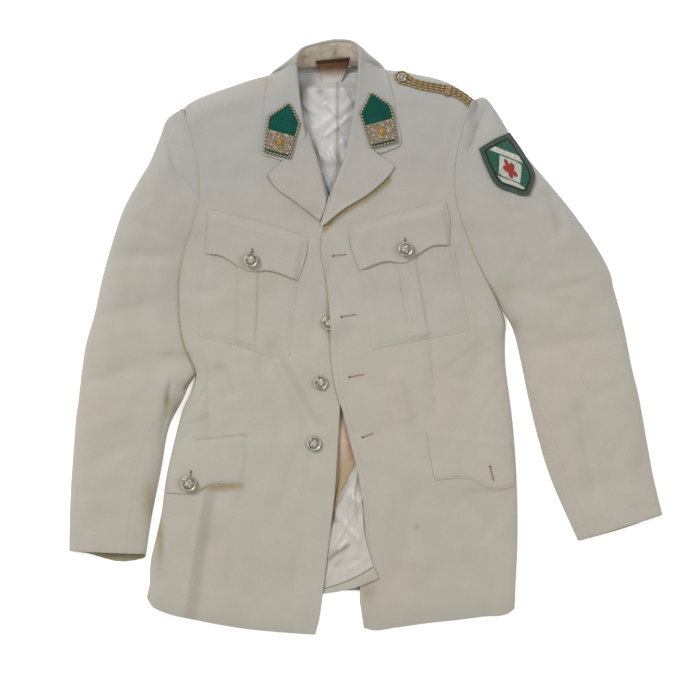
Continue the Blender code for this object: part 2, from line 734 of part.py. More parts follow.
# Lower flaps, their free edges a little lifted
LOWER_FLAPS = {
    "right": (
        [Point(-259.5, -202), Point(-257, -180), Point(-249, -134)],
        [Point(-162, -189), Point(-157, -160), Point(-158, -126)],
        [Point(-259.5, -202), Point(-225, -202), Point(-205, -193), Point(-162, -189)],
        [Point(-249, -134), Point(-215, -132), Point(-158, -126)],
    ),
    "left": (
        [Point(90, -186), Point(84, -157), Point(79, -119)],
        [Point(192.5, -195), Point(192, -165), Point(187, -132)],
        [Point(90, -186), Point(134, -185), Point(150, -192), Point(164, -199), Point(192.5, -195)],
        [Point(79, -119), Point(134, -126), Point(187, -132)],
    ),
}
FLAP_SEWN = 0.8
FLAP_FREE = 2.0
for label, side in (("right", RIGHT), ("left", LEFT)):
    west, east, south, north = LOWER_FLAPS[label]
    plan = region(west, east, south, north, 6, 15)
    free = 1 - np.linspace(0.0, 1.0, 6)[:, None]
    rise = FLAP_SEWN + FLAP_FREE * free ** 2 * np.ones((1, 15))
    laid("flap_lower_" + label, plan, partial(front_height, side), GAP, CLOTH, CREAM, rise)

# Lapels: the facing turned out over the front along the roll line
LAPELS = {
    "right": (
        [Point(-60, 151), Point(-91, 175), Point(-120, 198), Point(-127, 207)],
        [Point(-50, 178), Point(-61, 224), Point(-69, 247), Point(-77, 257)],
        [Point(-60, 151), Point(-55, 163), Point(-50, 178)],
        [Point(-127, 207), Point(-112, 222), Point(-99, 229), Point(-87, 243), Point(-77, 257)],
    ),
    "left": (
        [Point(-55, 144), Point(-50, 166), Point(-40, 200), Point(-28, 233), Point(-22, 258)],
        [Point(-50, 141), Point(-34, 161), Point(6, 185), Point(30, 206), Point(37, 220)],
        [Point(-55, 144), Point(-50, 141)],
        [Point(-22, 258), Point(-4, 247), Point(18, 233), Point(37, 220)],
    ),
}
ROLL_RISE = 3.5
ROLL_FADE = 9.0
ROLL_START = 0.4
LAPEL_LIFT = 0.2
TIP_LIFT = 3.2
TIP_POWER = 5
LAPEL_COLUMNS = 13
LAPEL_PULL = 0.7


def lapel_height(side, x, y):
    """Upper face of a lapel, higher where it turns at the roll line."""
    roll_line = curve(LAPELS["right"][1]) if side.sign > 0 else curve(LAPELS["left"][0])
    from_roll = np.abs(x - read(roll_line, 0, y))
    turned = roll(from_roll + ROLL_START, LAPEL_ROLL)
    rise = GAP + CLOTH + ROLL_RISE * np.exp(-from_roll / ROLL_FADE)
    return front_height(side, x, y) + rise * turned + LAPEL_LIFT


for label, side in (("right", RIGHT), ("left", LEFT)):
    west, east, south, north = LAPELS[label]
    across = eased(LAPEL_COLUMNS, LAPEL_PULL)
    across = 1 - across[::-1] if label == "right" else across
    left_edge = resample(curve(west), np.linspace(0.0, 1.0, 14))
    plan = patch(left_edge, curve(east), curve(south), curve(north), across)
    top = lapel_height(side, plan[..., 0], plan[..., 1])
    if label == "left":
        top = top + TIP_LIFT * across[None, :] ** TIP_POWER
    wall("lapel_" + label, np.concatenate([plan, top[..., None]], axis=2), CLOTH, CREAM)

# Collar: the fall in sections from the right end, round the neck, to the left end.
# "behind" says how far the section hangs down behind the neck instead of lying on the front.
COLLAR = [
    Band(-77.5, 260.5, 31, -106, 227.5, 0),
    Band(-79.5, 270, 31, -121, 232.5, 0),
    Band(-82, 287, 31.5, -136, 238, 0),
    Band(-84.5, 305, 32.5, -135, 263, 0),
    Band(-86.5, 325, 34, -132, 295, 0),
    Band(-88, 343, 35, -129, 321, 0),
    Band(-88.5, 353, 36, -124, 341, 0.2),
    Band(-87.5, 361, 36, -108, 354, 0.7),
    Band(-84.5, 367.5, 36, -95, 364, 1),
    Band(-77.5, 372.5, 36, -83, 375, 1),
    Band(-63, 376.5, 36, -65.5, 380.5, 1),
    Band(-47, 379.5, 36, -48, 385, 1),
    Band(-34, 380.5, 36, -34, 386, 1),
    Band(-21, 379.5, 36, -18.5, 384, 1),
    Band(-13.5, 374.5, 36, -6, 376.5, 1),
    Band(-10.5, 366, 36, 3, 368, 0.8),
    Band(-10.5, 352, 36, 23, 350, 0.2),
    Band(-11.5, 335, 35, 31.5, 325, 0.08),
    Band(-13.5, 310, 33.5, 39, 287, 0),
    Band(-17, 288, 32, 44.5, 251, 0),
    Band(-20, 272, 31, 28, 241, 0),
    Band(-21.5, 263, 31, 17, 237.5, 0),
]
CREST_ROUND = 3.0
LEAF_LIFT = 1.0
COLLAR_REST = 16.0
BEHIND_LIFT = 0.9
CREST_POINTS = 4
COLLAR_PULL = 0.4


def cloth_under(x, y):
    """Outer face of whichever front lies at a place."""
    left = front_height(LEFT, x, y)
    right = front_height(RIGHT, x, y)
    return np.where(x > CENTRE_X, left, right)


def collar_sections(rows_at, columns):
    """Grid of the collar fall from its rolled crest to its free edge."""
    data = table(COLLAR, rows_at)
    grid = []
    for row in data:
        start, end = row[0:2], row[3:5]
        reach = float(np.linalg.norm(end - start))
        way = (end - start) / reach
        turn = np.linspace(0.0, math.pi / 2, CREST_POINTS)
        near = CREST_ROUND * (1 - np.cos(turn))
        far = CREST_ROUND + (reach - CREST_ROUND) * eased(columns - CREST_POINTS + 1, COLLAR_PULL)[1:]
        off = np.concatenate([near, far])
        place = start + off[:, None] * way
        base = cloth_under(place[:, 0], place[:, 1]) + LEAF_LIFT + CLOTH + BEHIND_LIFT * row[5]
        share = np.clip((off - CREST_ROUND) / (reach - CREST_ROUND), 0.0, 1.0)
        lying = np.exp(-np.maximum(off - CREST_ROUND, 0.0) / COLLAR_REST)
        hanging = np.sqrt(1 - share ** 2)
        hold = lying + (hanging - lying) * np.clip(row[5], 0, 1)
        high = base + (row[2] - base[0]) * hold
        high[:CREST_POINTS] -= CREST_ROUND * (1 - np.sin(turn))
        grid.append(np.column_stack([place, high]))
    return np.array(grid)


COLLAR_AT = np.linspace(0, len(COLLAR) - 1, 31)
wall("collar_fall", collar_sections(COLLAR_AT, 10), CLOTH, CREAM)

# Stand: the inner band of the collar from the neck seam up to the crest
STAND_SEAM = [
    Point(-89, 348), Point(-72, 349), Point(-47, 352), Point(-34, 352), Point(-22, 351.5), Point(-8, 350),
]
STAND_CLEAR = 2.4
STAND_TOP = 3.4
SEAM_RISE = 5.4
STAND_BEND = 0.8
STAND_ROWS = (7, 15)
STAND_AT = COLLAR_AT[(COLLAR_AT > STAND_ROWS[0]) & (COLLAR_AT < STAND_ROWS[1])]
crest_rows = table(COLLAR, STAND_AT)
crest_way = crest_rows[:, 3:5] - crest_rows[:, 0:2]
crest_way /= np.linalg.norm(crest_way, axis=1, keepdims=True)
crest_line = crest_rows[:, 0:2] - STAND_CLEAR * crest_way
seam_line = curve(STAND_SEAM, len(STAND_AT))
share = np.linspace(0.0, 1.0, 6)[None, :, None]
stand_plan = crest_line[:, None, :] * (1 - share) + seam_line[:, None, :] * share
crest_rise = (crest_rows[:, 2] - STAND_TOP)[:, None, None]
stand_rise = SEAM_RISE + (crest_rise - SEAM_RISE) * (1 - share) ** STAND_BEND
wall("collar_stand", np.concatenate([stand_plan, stand_rise], axis=2), THIN, STAINED)

# Plain label hanging from the stand over the lining
LABEL_ROWS = [
    Band(-65, 357, 17.2, -21, 361, 21.6),
    Band(-60, 345, 8.4, -25, 347, 8.8),
    Band(-56, 337, 5.2, -32, 338, 5.4),
]
LABEL_THICK = 0.8
label_rows = table(LABEL_ROWS, np.linspace(0, len(LABEL_ROWS) - 1, 7))
share = np.linspace(0.0, 1.0, 6)[None, :, None]
label_grid = label_rows[:, None, 0:3] * (1 - share) + label_rows[:, None, 3:6] * share
wall("neck_label", label_grid, LABEL_THICK, LABEL)


# The right leaf is the collar's rows up to the first number, the left leaf those from the second
LEAF_ROWS = (6, 17)


def leaf_height(x, y):
    """Upper face of the collar leaves where they lie on the fronts."""
    rows = np.array(COLLAR, float)
    right, left = rows[:LEAF_ROWS[0]], rows[LEAF_ROWS[1]:]
    near_right = read(right[:, 0:2], 0, y)
    near_left = read(left[:, 0:2], 0, y)
    off = np.where(x < CENTRE_X, near_right - x, x - near_left)
    crest_right = np.interp(y, right[:, 1], right[:, 2])
    crest_left = np.interp(y, left[::-1, 1], left[::-1, 2])
    crest = np.where(x < CENTRE_X, crest_right, crest_left)
    roll_x = np.where(x < CENTRE_X, near_right, near_left)
    at_roll = cloth_under(roll_x, y) + LEAF_LIFT + CLOTH
    lying = np.exp(-np.maximum(off - CREST_ROUND, 0) / COLLAR_REST)
    return cloth_under(x, y) + LEAF_LIFT + CLOTH + (crest - at_roll) * lying


# Collar patches: pointed green felt, a silver lace bar across, and a small star
PATCHES = {
    "right": (
        [Point(-131.5, 240), Point(-125.5, 284.5), Point(-100, 301.5)],
        [Point(-99.5, 231.5), Point(-86, 276), Point(-96.5, 298)],
        [Point(-131.5, 240), Point(-99.5, 231.5)],
        [Point(-100, 301.5), Point(-96.5, 298)],
        Point(-129, 243.2), Point(-100, 235.4), Point(-126, 267.8), Point(-92.6, 258.6), Point(-111.7, 251),
    ),
    "left": (
        [Point(7.5, 244.5), Point(-7, 288.5), Point(6, 314.5)],
        [Point(39.5, 253), Point(33.5, 290), Point(30, 300), Point(10, 313.5)],
        [Point(7.5, 244.5), Point(39.5, 253)],
        [Point(6, 314.5), Point(10, 313.5)],
        Point(7.6, 248.4), Point(37.6, 256.2), Point(-0.8, 272.6), Point(33.6, 281.8), Point(20, 265),
    ),
}
PATCH_LIFT = 1.1
FELT = 1.5
BAR_THICK = 1.0
STAR_POINTS = 6
STAR_TIP = 6.5
STAR_DENT = 3.4
STAR_THICK = 1.4


def star(centre, foot):
    """Flat star on its foot height."""
    corners = 2 * STAR_POINTS
    points, faces = [], []
    for rise in (0.0, STAR_THICK):
        for k in range(corners):
            radius = STAR_TIP if k % 2 == 0 else STAR_DENT
            angle = math.pi / 2 + k * math.pi / STAR_POINTS
            x, y = centre.x + radius * math.cos(angle), centre.y + radius * math.sin(angle)
            points.append((x, y, foot + rise))
    faces.append(tuple(range(corners - 1, -1, -1)))
    faces.append(tuple(range(corners, 2 * corners)))
    for k in range(corners):
        after = (k + 1) % corners
        faces.append((k, after, corners + after, corners + k))
    return points, faces


for label in ("right", "left"):
    west, east, south, north, low_west, low_east, high_west, high_east, centre = PATCHES[label]
    plan = region(west, east, south, north, 11, 8, straight)
    laid("collar_patch_" + label, plan, leaf_height, PATCH_LIFT, FELT, GREEN)
    plan = quad(low_west, low_east, high_west, high_east, 6, 7)
    laid("lace_bar_" + label, plan, leaf_height, PATCH_LIFT + FELT + GAP, BAR_THICK, LACE)
    spot = float(leaf_height(np.array([centre.x]), np.array([centre.y]))[0])
    foot = spot + PATCH_LIFT + FELT + BAR_THICK + 3 * GAP
    body("star_" + label, *star(centre, foot), GOLD)


# A sleeve's upper face is read from the nearest of this many places on it
FACE_ROWS = 161
FACE_COLUMNS = 61
FACE_EDGE = 0.5
FACE_NEAR = 6
FACE_SOFT = 0.05


def sleeve_face(side, x, y):
    """Upper face of a sleeve at places on it."""
    rows_at = np.linspace(0.0, len(side.sleeve) - 1.0, FACE_ROWS)
    outer, inner, loft, seam, low = sleeve_at(side, rows_at)
    found, heights = [], []
    for i in range(len(rows_at)):
        width = float(np.linalg.norm(inner[i] - outer[i]))
        over = np.linspace(FACE_EDGE, width - FACE_EDGE, FACE_COLUMNS)
        place = outer[i] + over[:, None] * (inner[i] - outer[i]) / width
        found.append(place)
        heights.append(sleeve_height(side, place[:, 0], place[:, 1], over, width, loft[i], low[i]))
    found, heights = np.concatenate(found), np.concatenate(heights)
    flat_x, flat_y = np.ravel(x), np.ravel(y)
    away = (found[None, :, 0] - flat_x[:, None]) ** 2 + (found[None, :, 1] - flat_y[:, None]) ** 2
    near = np.argpartition(away, FACE_NEAR, axis=1)[:, :FACE_NEAR]
    weight = 1.0 / (np.take_along_axis(away, near, axis=1) + FACE_SOFT)
    return ((heights[near] * weight).sum(axis=1) / weight.sum(axis=1)).reshape(np.shape(x))


# Shield badge on the left upper sleeve
SHIELD = (
    [Point(192, 187), Point(172, 195), Point(155, 222), Point(147, 243)],
    [Point(210, 184), Point(218, 207), Point(205, 236), Point(186, 264)],
    [Point(192, 187), Point(201, 184), Point(210, 184)],
    [Point(147, 243), Point(167, 255), Point(186, 264)],
)
badge = region(*SHIELD, 9, 8)
laid("shield_badge", badge, partial(sleeve_face, LEFT), 3 * GAP, FELT, GREEN)

# Twisted shoulder cord on the left shoulder: two loops side by side that open round its button
CORD_LINE = [
    Point(137, 302), Point(125, 311.5), Point(111, 318.5), Point(88, 323), Point(66, 327.5), Point(46, 336.5),
]
CORD_RADIUS = 1.5
CORD_LOOPS = (("outer", 4.9, 7.8), ("inner", 1.65, 4.5))
CORD_OPENING = 17.0
CORD_FLOOR = 10.0


def cord_loop(line, narrow, wide):
    """One loop of the cord: out along the line, round its end and back."""
    way = np.gradient(line, axis=0)
    way /= np.linalg.norm(way, axis=1, keepdims=True)
    aside = np.column_stack([-way[:, 1], way[:, 0]])
    left_over = lengths(line)[-1] - lengths(line)
    spread = narrow + (wide - narrow) * (1 - smooth(left_over / CORD_OPENING))[:, None]
    turn = np.linspace(-math.pi / 2, math.pi / 2, 7)[1:-1]
    bend = line[-1] + wide * (np.cos(turn)[:, None] * way[-1] + np.sin(turn)[:, None] * aside[-1])
    return np.vstack([line - spread * aside, bend, (line + spread * aside)[::-1]])


for label, narrow, wide in CORD_LOOPS:
    line = cord_loop(curve(CORD_LINE, 16), narrow, wide)
    high = np.maximum(front_height(LEFT, line[:, 0], line[:, 1]), CORD_FLOOR) + CORD_RADIUS + 2 * GAP
    tube("shoulder_cord_" + label, np.column_stack([line, high]), CORD_RADIUS, GOLD, 6)

# Buttons: three on the right front, one on each breast flap, one on the right lower flap
FLAP_STACK = 2 * CLOTH + PLEAT_RISE + POCKET_LIFT + FLAP_LIFT
BUTTON_SEAT = 0.5
FLAP_AT_BUTTON = 0.8
FLAP_RISE = CLOTH + GAP + FLAP_SEWN + FLAP_AT_BUTTON * FLAP_FREE
BUTTON_THICK = 4.0
BUTTONS = [
    ("button_front_1", Point(-48, 18), 9.5, RIGHT, 0.0),
    ("button_front_2", Point(-59, -59), 9.5, RIGHT, 0.0),
    ("button_front_3", Point(-67.5, -138), 9.5, RIGHT, 0.0),
    ("button_breast_right", Point(-149, 99.5), 9.5, RIGHT, FLAP_STACK),
    ("button_breast_left", Point(51, 113.5), 9.5, LEFT, FLAP_STACK),
    ("button_flap_right", Point(-230, -190), 10.5, RIGHT, FLAP_RISE),
]
SEAT_REACH = 8.0
for name, place, radius, side, stack in BUTTONS:
    across = place.x + SEAT_REACH * np.array([-1.0, 0.0, 1.0])
    ground = float(front_height(side, across, np.full(3, float(place.y))).max())
    button(name, place.x, place.y, ground + stack + BUTTON_SEAT, radius, BUTTON_THICK, BRASS)
SHOULDER_BUTTON = Point(46, 336)
BUTTON_REACH = 6.0
around_x = SHOULDER_BUTTON.x + BUTTON_REACH * np.array([0.0, 1.0, 0.0, -1.0])
around_y = SHOULDER_BUTTON.y + BUTTON_REACH * np.array([1.0, 0.0, -1.0, 0.0])
highest = float(front_height(LEFT, around_x, around_y).max())
seat = max(highest, CORD_FLOOR) + 2 * CORD_RADIUS + 3 * GAP
SMALL_RADIUS = 5.6
SMALL_THICK = 3.0
button("button_shoulder", SHOULDER_BUTTON.x, SHOULDER_BUTTON.y, seat, SMALL_RADIUS, SMALL_THICK, BRASS)

# Inside of the back skirt turned over the left front's lower edge, with its hem strip
SKIRT = (
    [Point(-55, -327), Point(-50, -280), Point(-40, -215)],
    [Point(9, -298), Point(-1, -262), Point(-6, -205)],
    [Point(-55, -327), Point(-33, -320), Point(-9, -309), Point(9, -298)],
    [Point(-40, -215), Point(-22, -206), Point(-6, -205)],
)
SKIRT_HEM = (
    [Point(-62, -334), Point(-55.6, -327.6)],
    [Point(16, -313), Point(9.4, -298.6)],
    [Point(-62, -334), Point(-35, -330), Point(-8, -323), Point(16, -313)],
    [Point(-55.6, -327.6), Point(-33, -320.6), Point(-9, -309.6), Point(9.4, -298.6)],
)


SKIRT_LIFT = 0.4
LINING_END = (-300.0, 15.0)
SKIRT_STEP = (24.0, 20.0)


def skirt_height(x, y):
    """Height of the turned skirt: low inside, above the front at its edge."""
    over = front_height(LEFT, np.maximum(x, read(LEFT.front, 0, y)), y) + GAP + LINING + SKIRT_LIFT
    start, span = LINING_END
    below = THIN + (lining_height(x, y) - THIN) * smooth((y - start) / span)
    inside = below + GAP + LINING + SKIRT_LIFT
    before, rising = SKIRT_STEP
    share = smooth((x - read(LEFT.front, 0, y) + before) / rising)
    return inside * (1 - share) + over * share


plan = region(*SKIRT, 10, 9)
rise = skirt_height(plan[..., 0], plan[..., 1])
wall("skirt_lining", np.concatenate([plan, rise[..., None]], axis=2), LINING, SATIN)
plan = region(*SKIRT_HEM, 4, 11)
rise = skirt_height(plan[..., 0], plan[..., 1])
wall("skirt_hem", np.concatenate([plan, rise[..., None]], axis=2), LINING, CREAM)
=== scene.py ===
"""Looks of a dress uniform jacket laid flat on its back, seen from straight above.

Tables and forms repeat those of the jacket's solids, in millimetres, read at a finer
pitch, and each piece is a thin shell on its solid's form.
"""
import math
from collections import namedtuple
from functools import partial

import bpy
import numpy as np
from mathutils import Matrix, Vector


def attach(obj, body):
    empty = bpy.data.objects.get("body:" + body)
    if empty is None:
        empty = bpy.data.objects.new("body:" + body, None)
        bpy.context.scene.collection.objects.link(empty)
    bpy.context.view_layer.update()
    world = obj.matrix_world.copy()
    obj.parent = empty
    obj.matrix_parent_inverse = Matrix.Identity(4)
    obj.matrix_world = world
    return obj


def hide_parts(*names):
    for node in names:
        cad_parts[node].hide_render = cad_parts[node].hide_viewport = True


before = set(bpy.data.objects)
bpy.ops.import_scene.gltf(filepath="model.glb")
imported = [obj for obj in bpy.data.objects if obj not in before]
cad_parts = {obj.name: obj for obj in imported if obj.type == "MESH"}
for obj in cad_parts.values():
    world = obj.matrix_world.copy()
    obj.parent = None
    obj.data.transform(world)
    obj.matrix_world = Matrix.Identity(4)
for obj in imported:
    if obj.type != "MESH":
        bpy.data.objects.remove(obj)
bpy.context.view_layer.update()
MM = 0.001

# Camera straight above, in metres
CAMERA_HEIGHT = 5.0
VIEW_WIDTH = 0.91
AIM_X = -0.0208
AIM_Y = -0.0169

# Walls and clearances
CLOTH = 2.0
THIN = 1.5
LINING = 1.0
GAP = 0.3
SEAM = -0.8
EDGE = 2.6
SHOULDER_EDGE = 3.9
BACK_INSET = 3.0
FLOOR_ROUND = 3.2

# Roll radii of the folded cloth at the outline
SIDE_ROLL = 24.0
SHOULDER_ROLL = 26.0
HEM_ROLL = 8.0
SLEEVE_ROLL = 34.0
LAPEL_ROLL = 7.0

Point = namedtuple("Point", "x y")
Section = namedtuple("Section", "out_x out_y in_x in_y loft seam")
Loft = namedtuple("Loft", "y side middle centre")
Fold = namedtuple("Fold", "x0 y0 x1 y1 width depth")
Band = namedtuple("Band", "x y z out_x out_y out_z")
Spot = namedtuple("Spot", "x y wide high amount")
Wave = namedtuple("Wave", "length angle height phase")


def listed(kind, *values):
    """Table of named rows."""
    return [kind(*value) for value in values]


# Sleeves: a row per section from the shoulder point to the cuff.
# "seam" is how far the forearm seam lies inside the inner edge.
SLEEVE_RIGHT = listed(
    Section,
    (-252, 288.5, -238.5, 295.5, 8, 0), (-260, 280, -233.5, 282, 14, 0), (-269, 256, -227, 265, 20, 0),
    (-281, 227, -220.5, 238, 24, 0), (-297, 200, -216, 207, 26, 0), (-315, 166, -217, 172, 26, 0),
    (-330, 122, -226.5, 137, 25, 0), (-343, 75, -237, 104, 23, 0), (-352, 33, -243, 66, 22, 0),
    (-364, -10, -240, 20, 21, 0), (-369, -42, -232.4, -18, 20, 0), (-372, -66, -221.6, -46, 20, 0),
    (-374, -84, -230.5, -64, 19.5, 0), (-377, -106, -238.5, -83, 19, 2.5), (-380, -145, -256, -118, 18, 26),
    (-383, -190, -266, -172, 16, 31), (-385, -235, -278, -232, 14.5, 28),
    (-385.5, -277, -286, -281, 13.5, 25),
)
SLEEVE_LEFT = listed(
    Section,
    (151, 311.5, 137, 305, 8, 0), (158, 308, 131, 290, 13, 0), (171, 290, 125, 269, 19, 0),
    (188, 262, 118, 243, 24, 0), (210, 232, 114, 212, 26, 0), (240, 197, 116, 178, 26, 0),
    (270, 160, 125, 147, 25, 0), (297, 121, 138, 112, 24, 0), (316, 86, 156, 74, 22, 0),
    (322, 62, 165, 60, 21, 0), (330, 34, 176, 36, 21, 0), (337, 4, 190.5, 10, 20, 0),
    (345, -38, 201, -32, 19, 0), (355, -80, 210, -76, 18, 5), (364, -130, 223, -130, 16, 20),
    (373, -180, 241, -187, 14.5, 20), (385, -230, 275, -264, 13.5, 17),
)
CAP_ROWS = 8
# The armhole seam closes into a tube from this row number, over this many rows
CAP_CLOSE = {1: (10.6, 1.6), -1: (9.2, 1.5)}

# The right cuff's underside reaches past its upper edge: how far, where across, how wide
Lip = namedtuple("Lip", "reach place spread")
LIP_RIGHT = Lip(11.0, 0.68, 0.36)
LIP_LEFT = Lip(2.0, 0.5, 0.4)

# The sleeve's head takes its height this far inside the armhole, over these rows
HEAD_STEP = 6.0
HEAD_ROWS = 2.6

# The two pieces of a sleeve meet underneath, this far in from the outer edge
UNDER_REACH = 22.0
UNDER_SHARE = 0.3
UNDER_TAIL = 6

# Outline of the fronts and back, from the hem upward
SIDE_RIGHT = [
    (-281, -322), (-280, -295), (-273, -262), (-266, -230), (-260, -185), (-250, -139), (-237, -92),
    (-226.5, -68), (-222, -48), (-227.5, -32), (-236, -12), (-242.3, 20), (-243, 45), (-243, 66),
]
SIDE_LEFT = [
    (194, -322), (196, -285), (196.5, -212), (194, -155), (190, -108), (185.5, -72), (181, -35),
    (180.5, -5), (181, 18), (171.5, 44), (156, 74),
]
FOOT_RIGHT = (-285, -338)
FOOT_LEFT = (193, -352)
SHOULDER_RIGHT = [
    (-238.5, 295.5), (-232.5, 301), (-225, 305.5), (-212, 311.5), (-177, 324), (-144, 335), (-118, 342),
    (-103, 350), (-91, 355),
]
SHOULDER_LEFT = [
    (137, 305), (125, 319), (112, 327), (98, 333), (68, 340), (42, 345), (23, 347), (14, 350), (3, 355),
    (-6, 356),
]
HEM_RIGHT = [
    (-285, -338), (-277, -350), (-262, -357), (-218, -367.5), (-151, -379), (-115, -382.5), (-66, -386),
]
HEM_LEFT = [
    (193, -352), (186, -357.5), (152, -362.5), (117, -367), (79, -371), (37, -377), (8, -380), (-3, -377),
]
# Front edges from the hem to the neck; the upper right one is hidden under the left
FRONT_RIGHT = [
    (-66, -386), (-63, -373), (-57, -333), (-49, -266), (-42, -208), (-38, -151), (-34, -86), (-30, -40),
    (-25, 20), (-22, 98), (-32, 140), (-47, 176), (-57, 205), (-66, 227), (-75, 252), (-83, 290),
    (-88, 325), (-91, 355),
]
FRONT_LEFT = [
    (-3, -377), (-6.5, -355), (-7, -324), (-4, -285), (-3, -245), (-4.5, -212), (-9, -179), (-21, -131),
    (-30, -95), (-38, -70), (-44, -30), (-46, 25), (-51, 75), (-57.5, 114), (-54, 140), (-49, 160),
    (-41, 182), (-32, 205), (-24, 226), (-18, 254), (-9, 300), (-6, 356),
]
NECK_SEAM = [(-91, 352), (-70, 350), (-47, 350), (-25, 350), (-6, 353)]
BACK_HEM = [(-281, -322), (-151, -328), (-47, -329), (83, -326), (194, -322)]

# Height of the fronts over the floor, from the side seam to the centre
LOFT = listed(
    Loft,
    (-386, 3.6, 3.8, 3.6), (-345, 5.5, 6.2, 5.5), (-250, 8.5, 9.5, 8.6), (-150, 10, 13, 12),
    (-50, 11, 16, 15), (60, 15, 20, 19), (150, 22, 25, 23), (230, 26, 28, 25), (300, 25, 26, 24),
    (384, 16, 17, 18),
)
CENTRE_X = -45.0
HALF_WIDTH = 190.0
ARMHOLE_OPEN = {1: (-62.0, 10.0), -1: (8.0, 72.0)}
EDGE_CHANGE = (22.0, 30.0)
HEM_REST = 0.4

# The left front laps over the right one
LAP = CLOTH + 0.5
LAP_FULL = 38.0
LAP_FADE = 34.0
LAP_SPAN = ((-125.0, 0.0), (-92.0, 1.0), (188.0, 1.0), (226.0, 0.0))

# The left front rises over the half-hidden button
Bump = namedtuple("Bump", "x y wide rise")
BUTTON_BUMP = Bump(-43.0, 18.0, 19.0, 6.2)

# Large folds of the laid cloth
FOLDS_RIGHT = listed(
    Fold,
    (-195, -205, -203, -268, 13, -2.4), (-203, -268, -214, -350, 13, -2.4),
    (-116, -25, -75, -107, 15, -2.8), (-135, -44, -110, -118, 13, -2.0), (-188, -43, -178, -74, 13, -2.2),
    (-205, -48, -205, -122, 9, -1.8), (-222, -72, -214, -100, 12, 2.2), (-226, 120, -205, 60, 22, -2.6),
)
FOLDS_LEFT = listed(
    Fold,
    (168, -10, 91, -59, 15, -3.0), (156, -22, 134, -55, 12, -2.2), (40, -55, 53, -101, 13, 2.0),
    (84, -8, 89, -88, 8, -1.6), (129, -212, 161, -245, 18, -1.6), (60, -205, 40, -300, 24, -1.4),
    (132, 130, 118, 60, 22, -2.6),
)
FOLDS_SLEEVE_RIGHT = listed(
    Fold,
    (-260, 270, -233, 197, 10, -3.0), (-290, 205, -284, 180, 9, -2.0), (-350, 108, -262, 100, 16, -2.6),
    (-340, 30, -262, 48, 20, -2.4), (-372, -60, -262, -28, 22, -2.0), (-350, -150, -300, -130, 20, -1.6),
    (-330, 60, -330, -20, 24, 1.8),
)
FOLDS_SLEEVE_LEFT = listed(
    Fold,
    (156, 294, 136, 245, 10, -2.6), (172, 201, 194, 164, 12, -2.8), (239, 182, 250, 138, 13, -3.0),
    (257, 77, 280, 84, 13, 2.4), (280, -102, 297, -188, 16, -2.6), (205, -20, 320, 2, 22, -2.2),
    (250, 30, 318, 46, 16, -1.8),
)


def hermite(points, knots, at):
    """Smooth curve through the points, read at the given knot values."""
    slopes = np.gradient(points, knots, axis=0)
    index = np.clip(np.searchsorted(knots, at, side="right") - 1, 0, len(knots) - 2)
    step = (knots[index + 1] - knots[index])[:, None]
    s = ((at - knots[index])[:, None]) / step
    keep = 2 * s ** 3 - 3 * s ** 2 + 1
    rise = s ** 3 - 2 * s ** 2 + s
    lead = s ** 3 - s ** 2
    start, end = points[index], points[index + 1]
    return keep * start + rise * step * slopes[index] + (1 - keep) * end + lead * step * slopes[index + 1]


def unit(count):
    """Evenly spaced fractions from 0 to 1."""
    return np.linspace(0.0, 1.0, count)


def places(points):
    """Plan coordinates of points."""
    return points[..., 0], points[..., 1]


def bell(away):
    """Soft bump that is 1 in its middle."""
    return np.exp(-away ** 2)


def shares(rows, columns):
    """Fractions of the way up and across at each place of a grid."""
    return np.meshgrid(unit(rows), unit(columns), indexing="ij")


def lift(plan, high):
    """Plan grid with a height at each place."""
    return np.concatenate([plan, np.broadcast_to(high, plan.shape[:2])[..., None]], axis=2)


def table(rows, at):
    """Rows of a section table read at fractional row numbers."""
    data = np.array(rows, float)
    return hermite(data, np.arange(len(data), dtype=float), np.asarray(at, float))


def lengths(points):
    """Distance along a polyline at each of its points."""
    step = np.linalg.norm(np.diff(points, axis=0), axis=1)
    return np.concatenate([[0.0], np.cumsum(step)])


def resample(points, at):
    """Points of a polyline at fractions of its length."""
    run = lengths(points)
    where = np.asarray(at) * run[-1]
    return np.stack([np.interp(where, run, column) for column in points.T], axis=1)


def curve(rows, count=240):
    """Evenly spaced points of a smooth curve through the rows."""
    data = np.array(rows, float)
    knots = lengths(data)
    dense = hermite(data, knots, np.linspace(0.0, knots[-1], count * 2))
    return resample(dense, unit(count))


def patch(west, east, south, north, across):
    """Grid between four boundary curves; west and east already hold the rows."""
    up = lengths(west) / lengths(west)[-1]
    right = resample(east, up)
    low = resample(south, across)
    high = resample(north, across)
    u = np.asarray(across)[None, :, None]
    v = up[:, None, None]
    ruled = (1 - u) * west[:, None, :] + u * right[:, None, :]
    crossed = (1 - v) * low[None, :, :] + v * high[None, :, :]
    corners = (1 - v) * ((1 - u) * low[0] + u * low[-1]) + v * ((1 - u) * high[0] + u * high[-1])
    return ruled + crossed - corners


def eased(count, pull):
    """Fractions from 0 to 1, drawn closer together at the start by the pull."""
    s = unit(count)
    return (1 - pull) * s + pull * (1 - np.cos(s * math.pi / 2))


def roll(distance, radius):
    """Quarter-round rise from 0 at the edge to 1 at the radius."""
    s = np.clip(distance / radius, 0.0, 1.0)
    return np.sqrt(np.clip(1.0 - (1.0 - s) ** 2, 0.0, 1.0))


def smooth(value):
    """Soft step from 0 to 1."""
    s = np.clip(value, 0.0, 1.0)
    return s * s * (3 - 2 * s)


def step(value, start, span):
    """Soft step from 0 at the start to 1 after the span."""
    return smooth((value - start) / span)


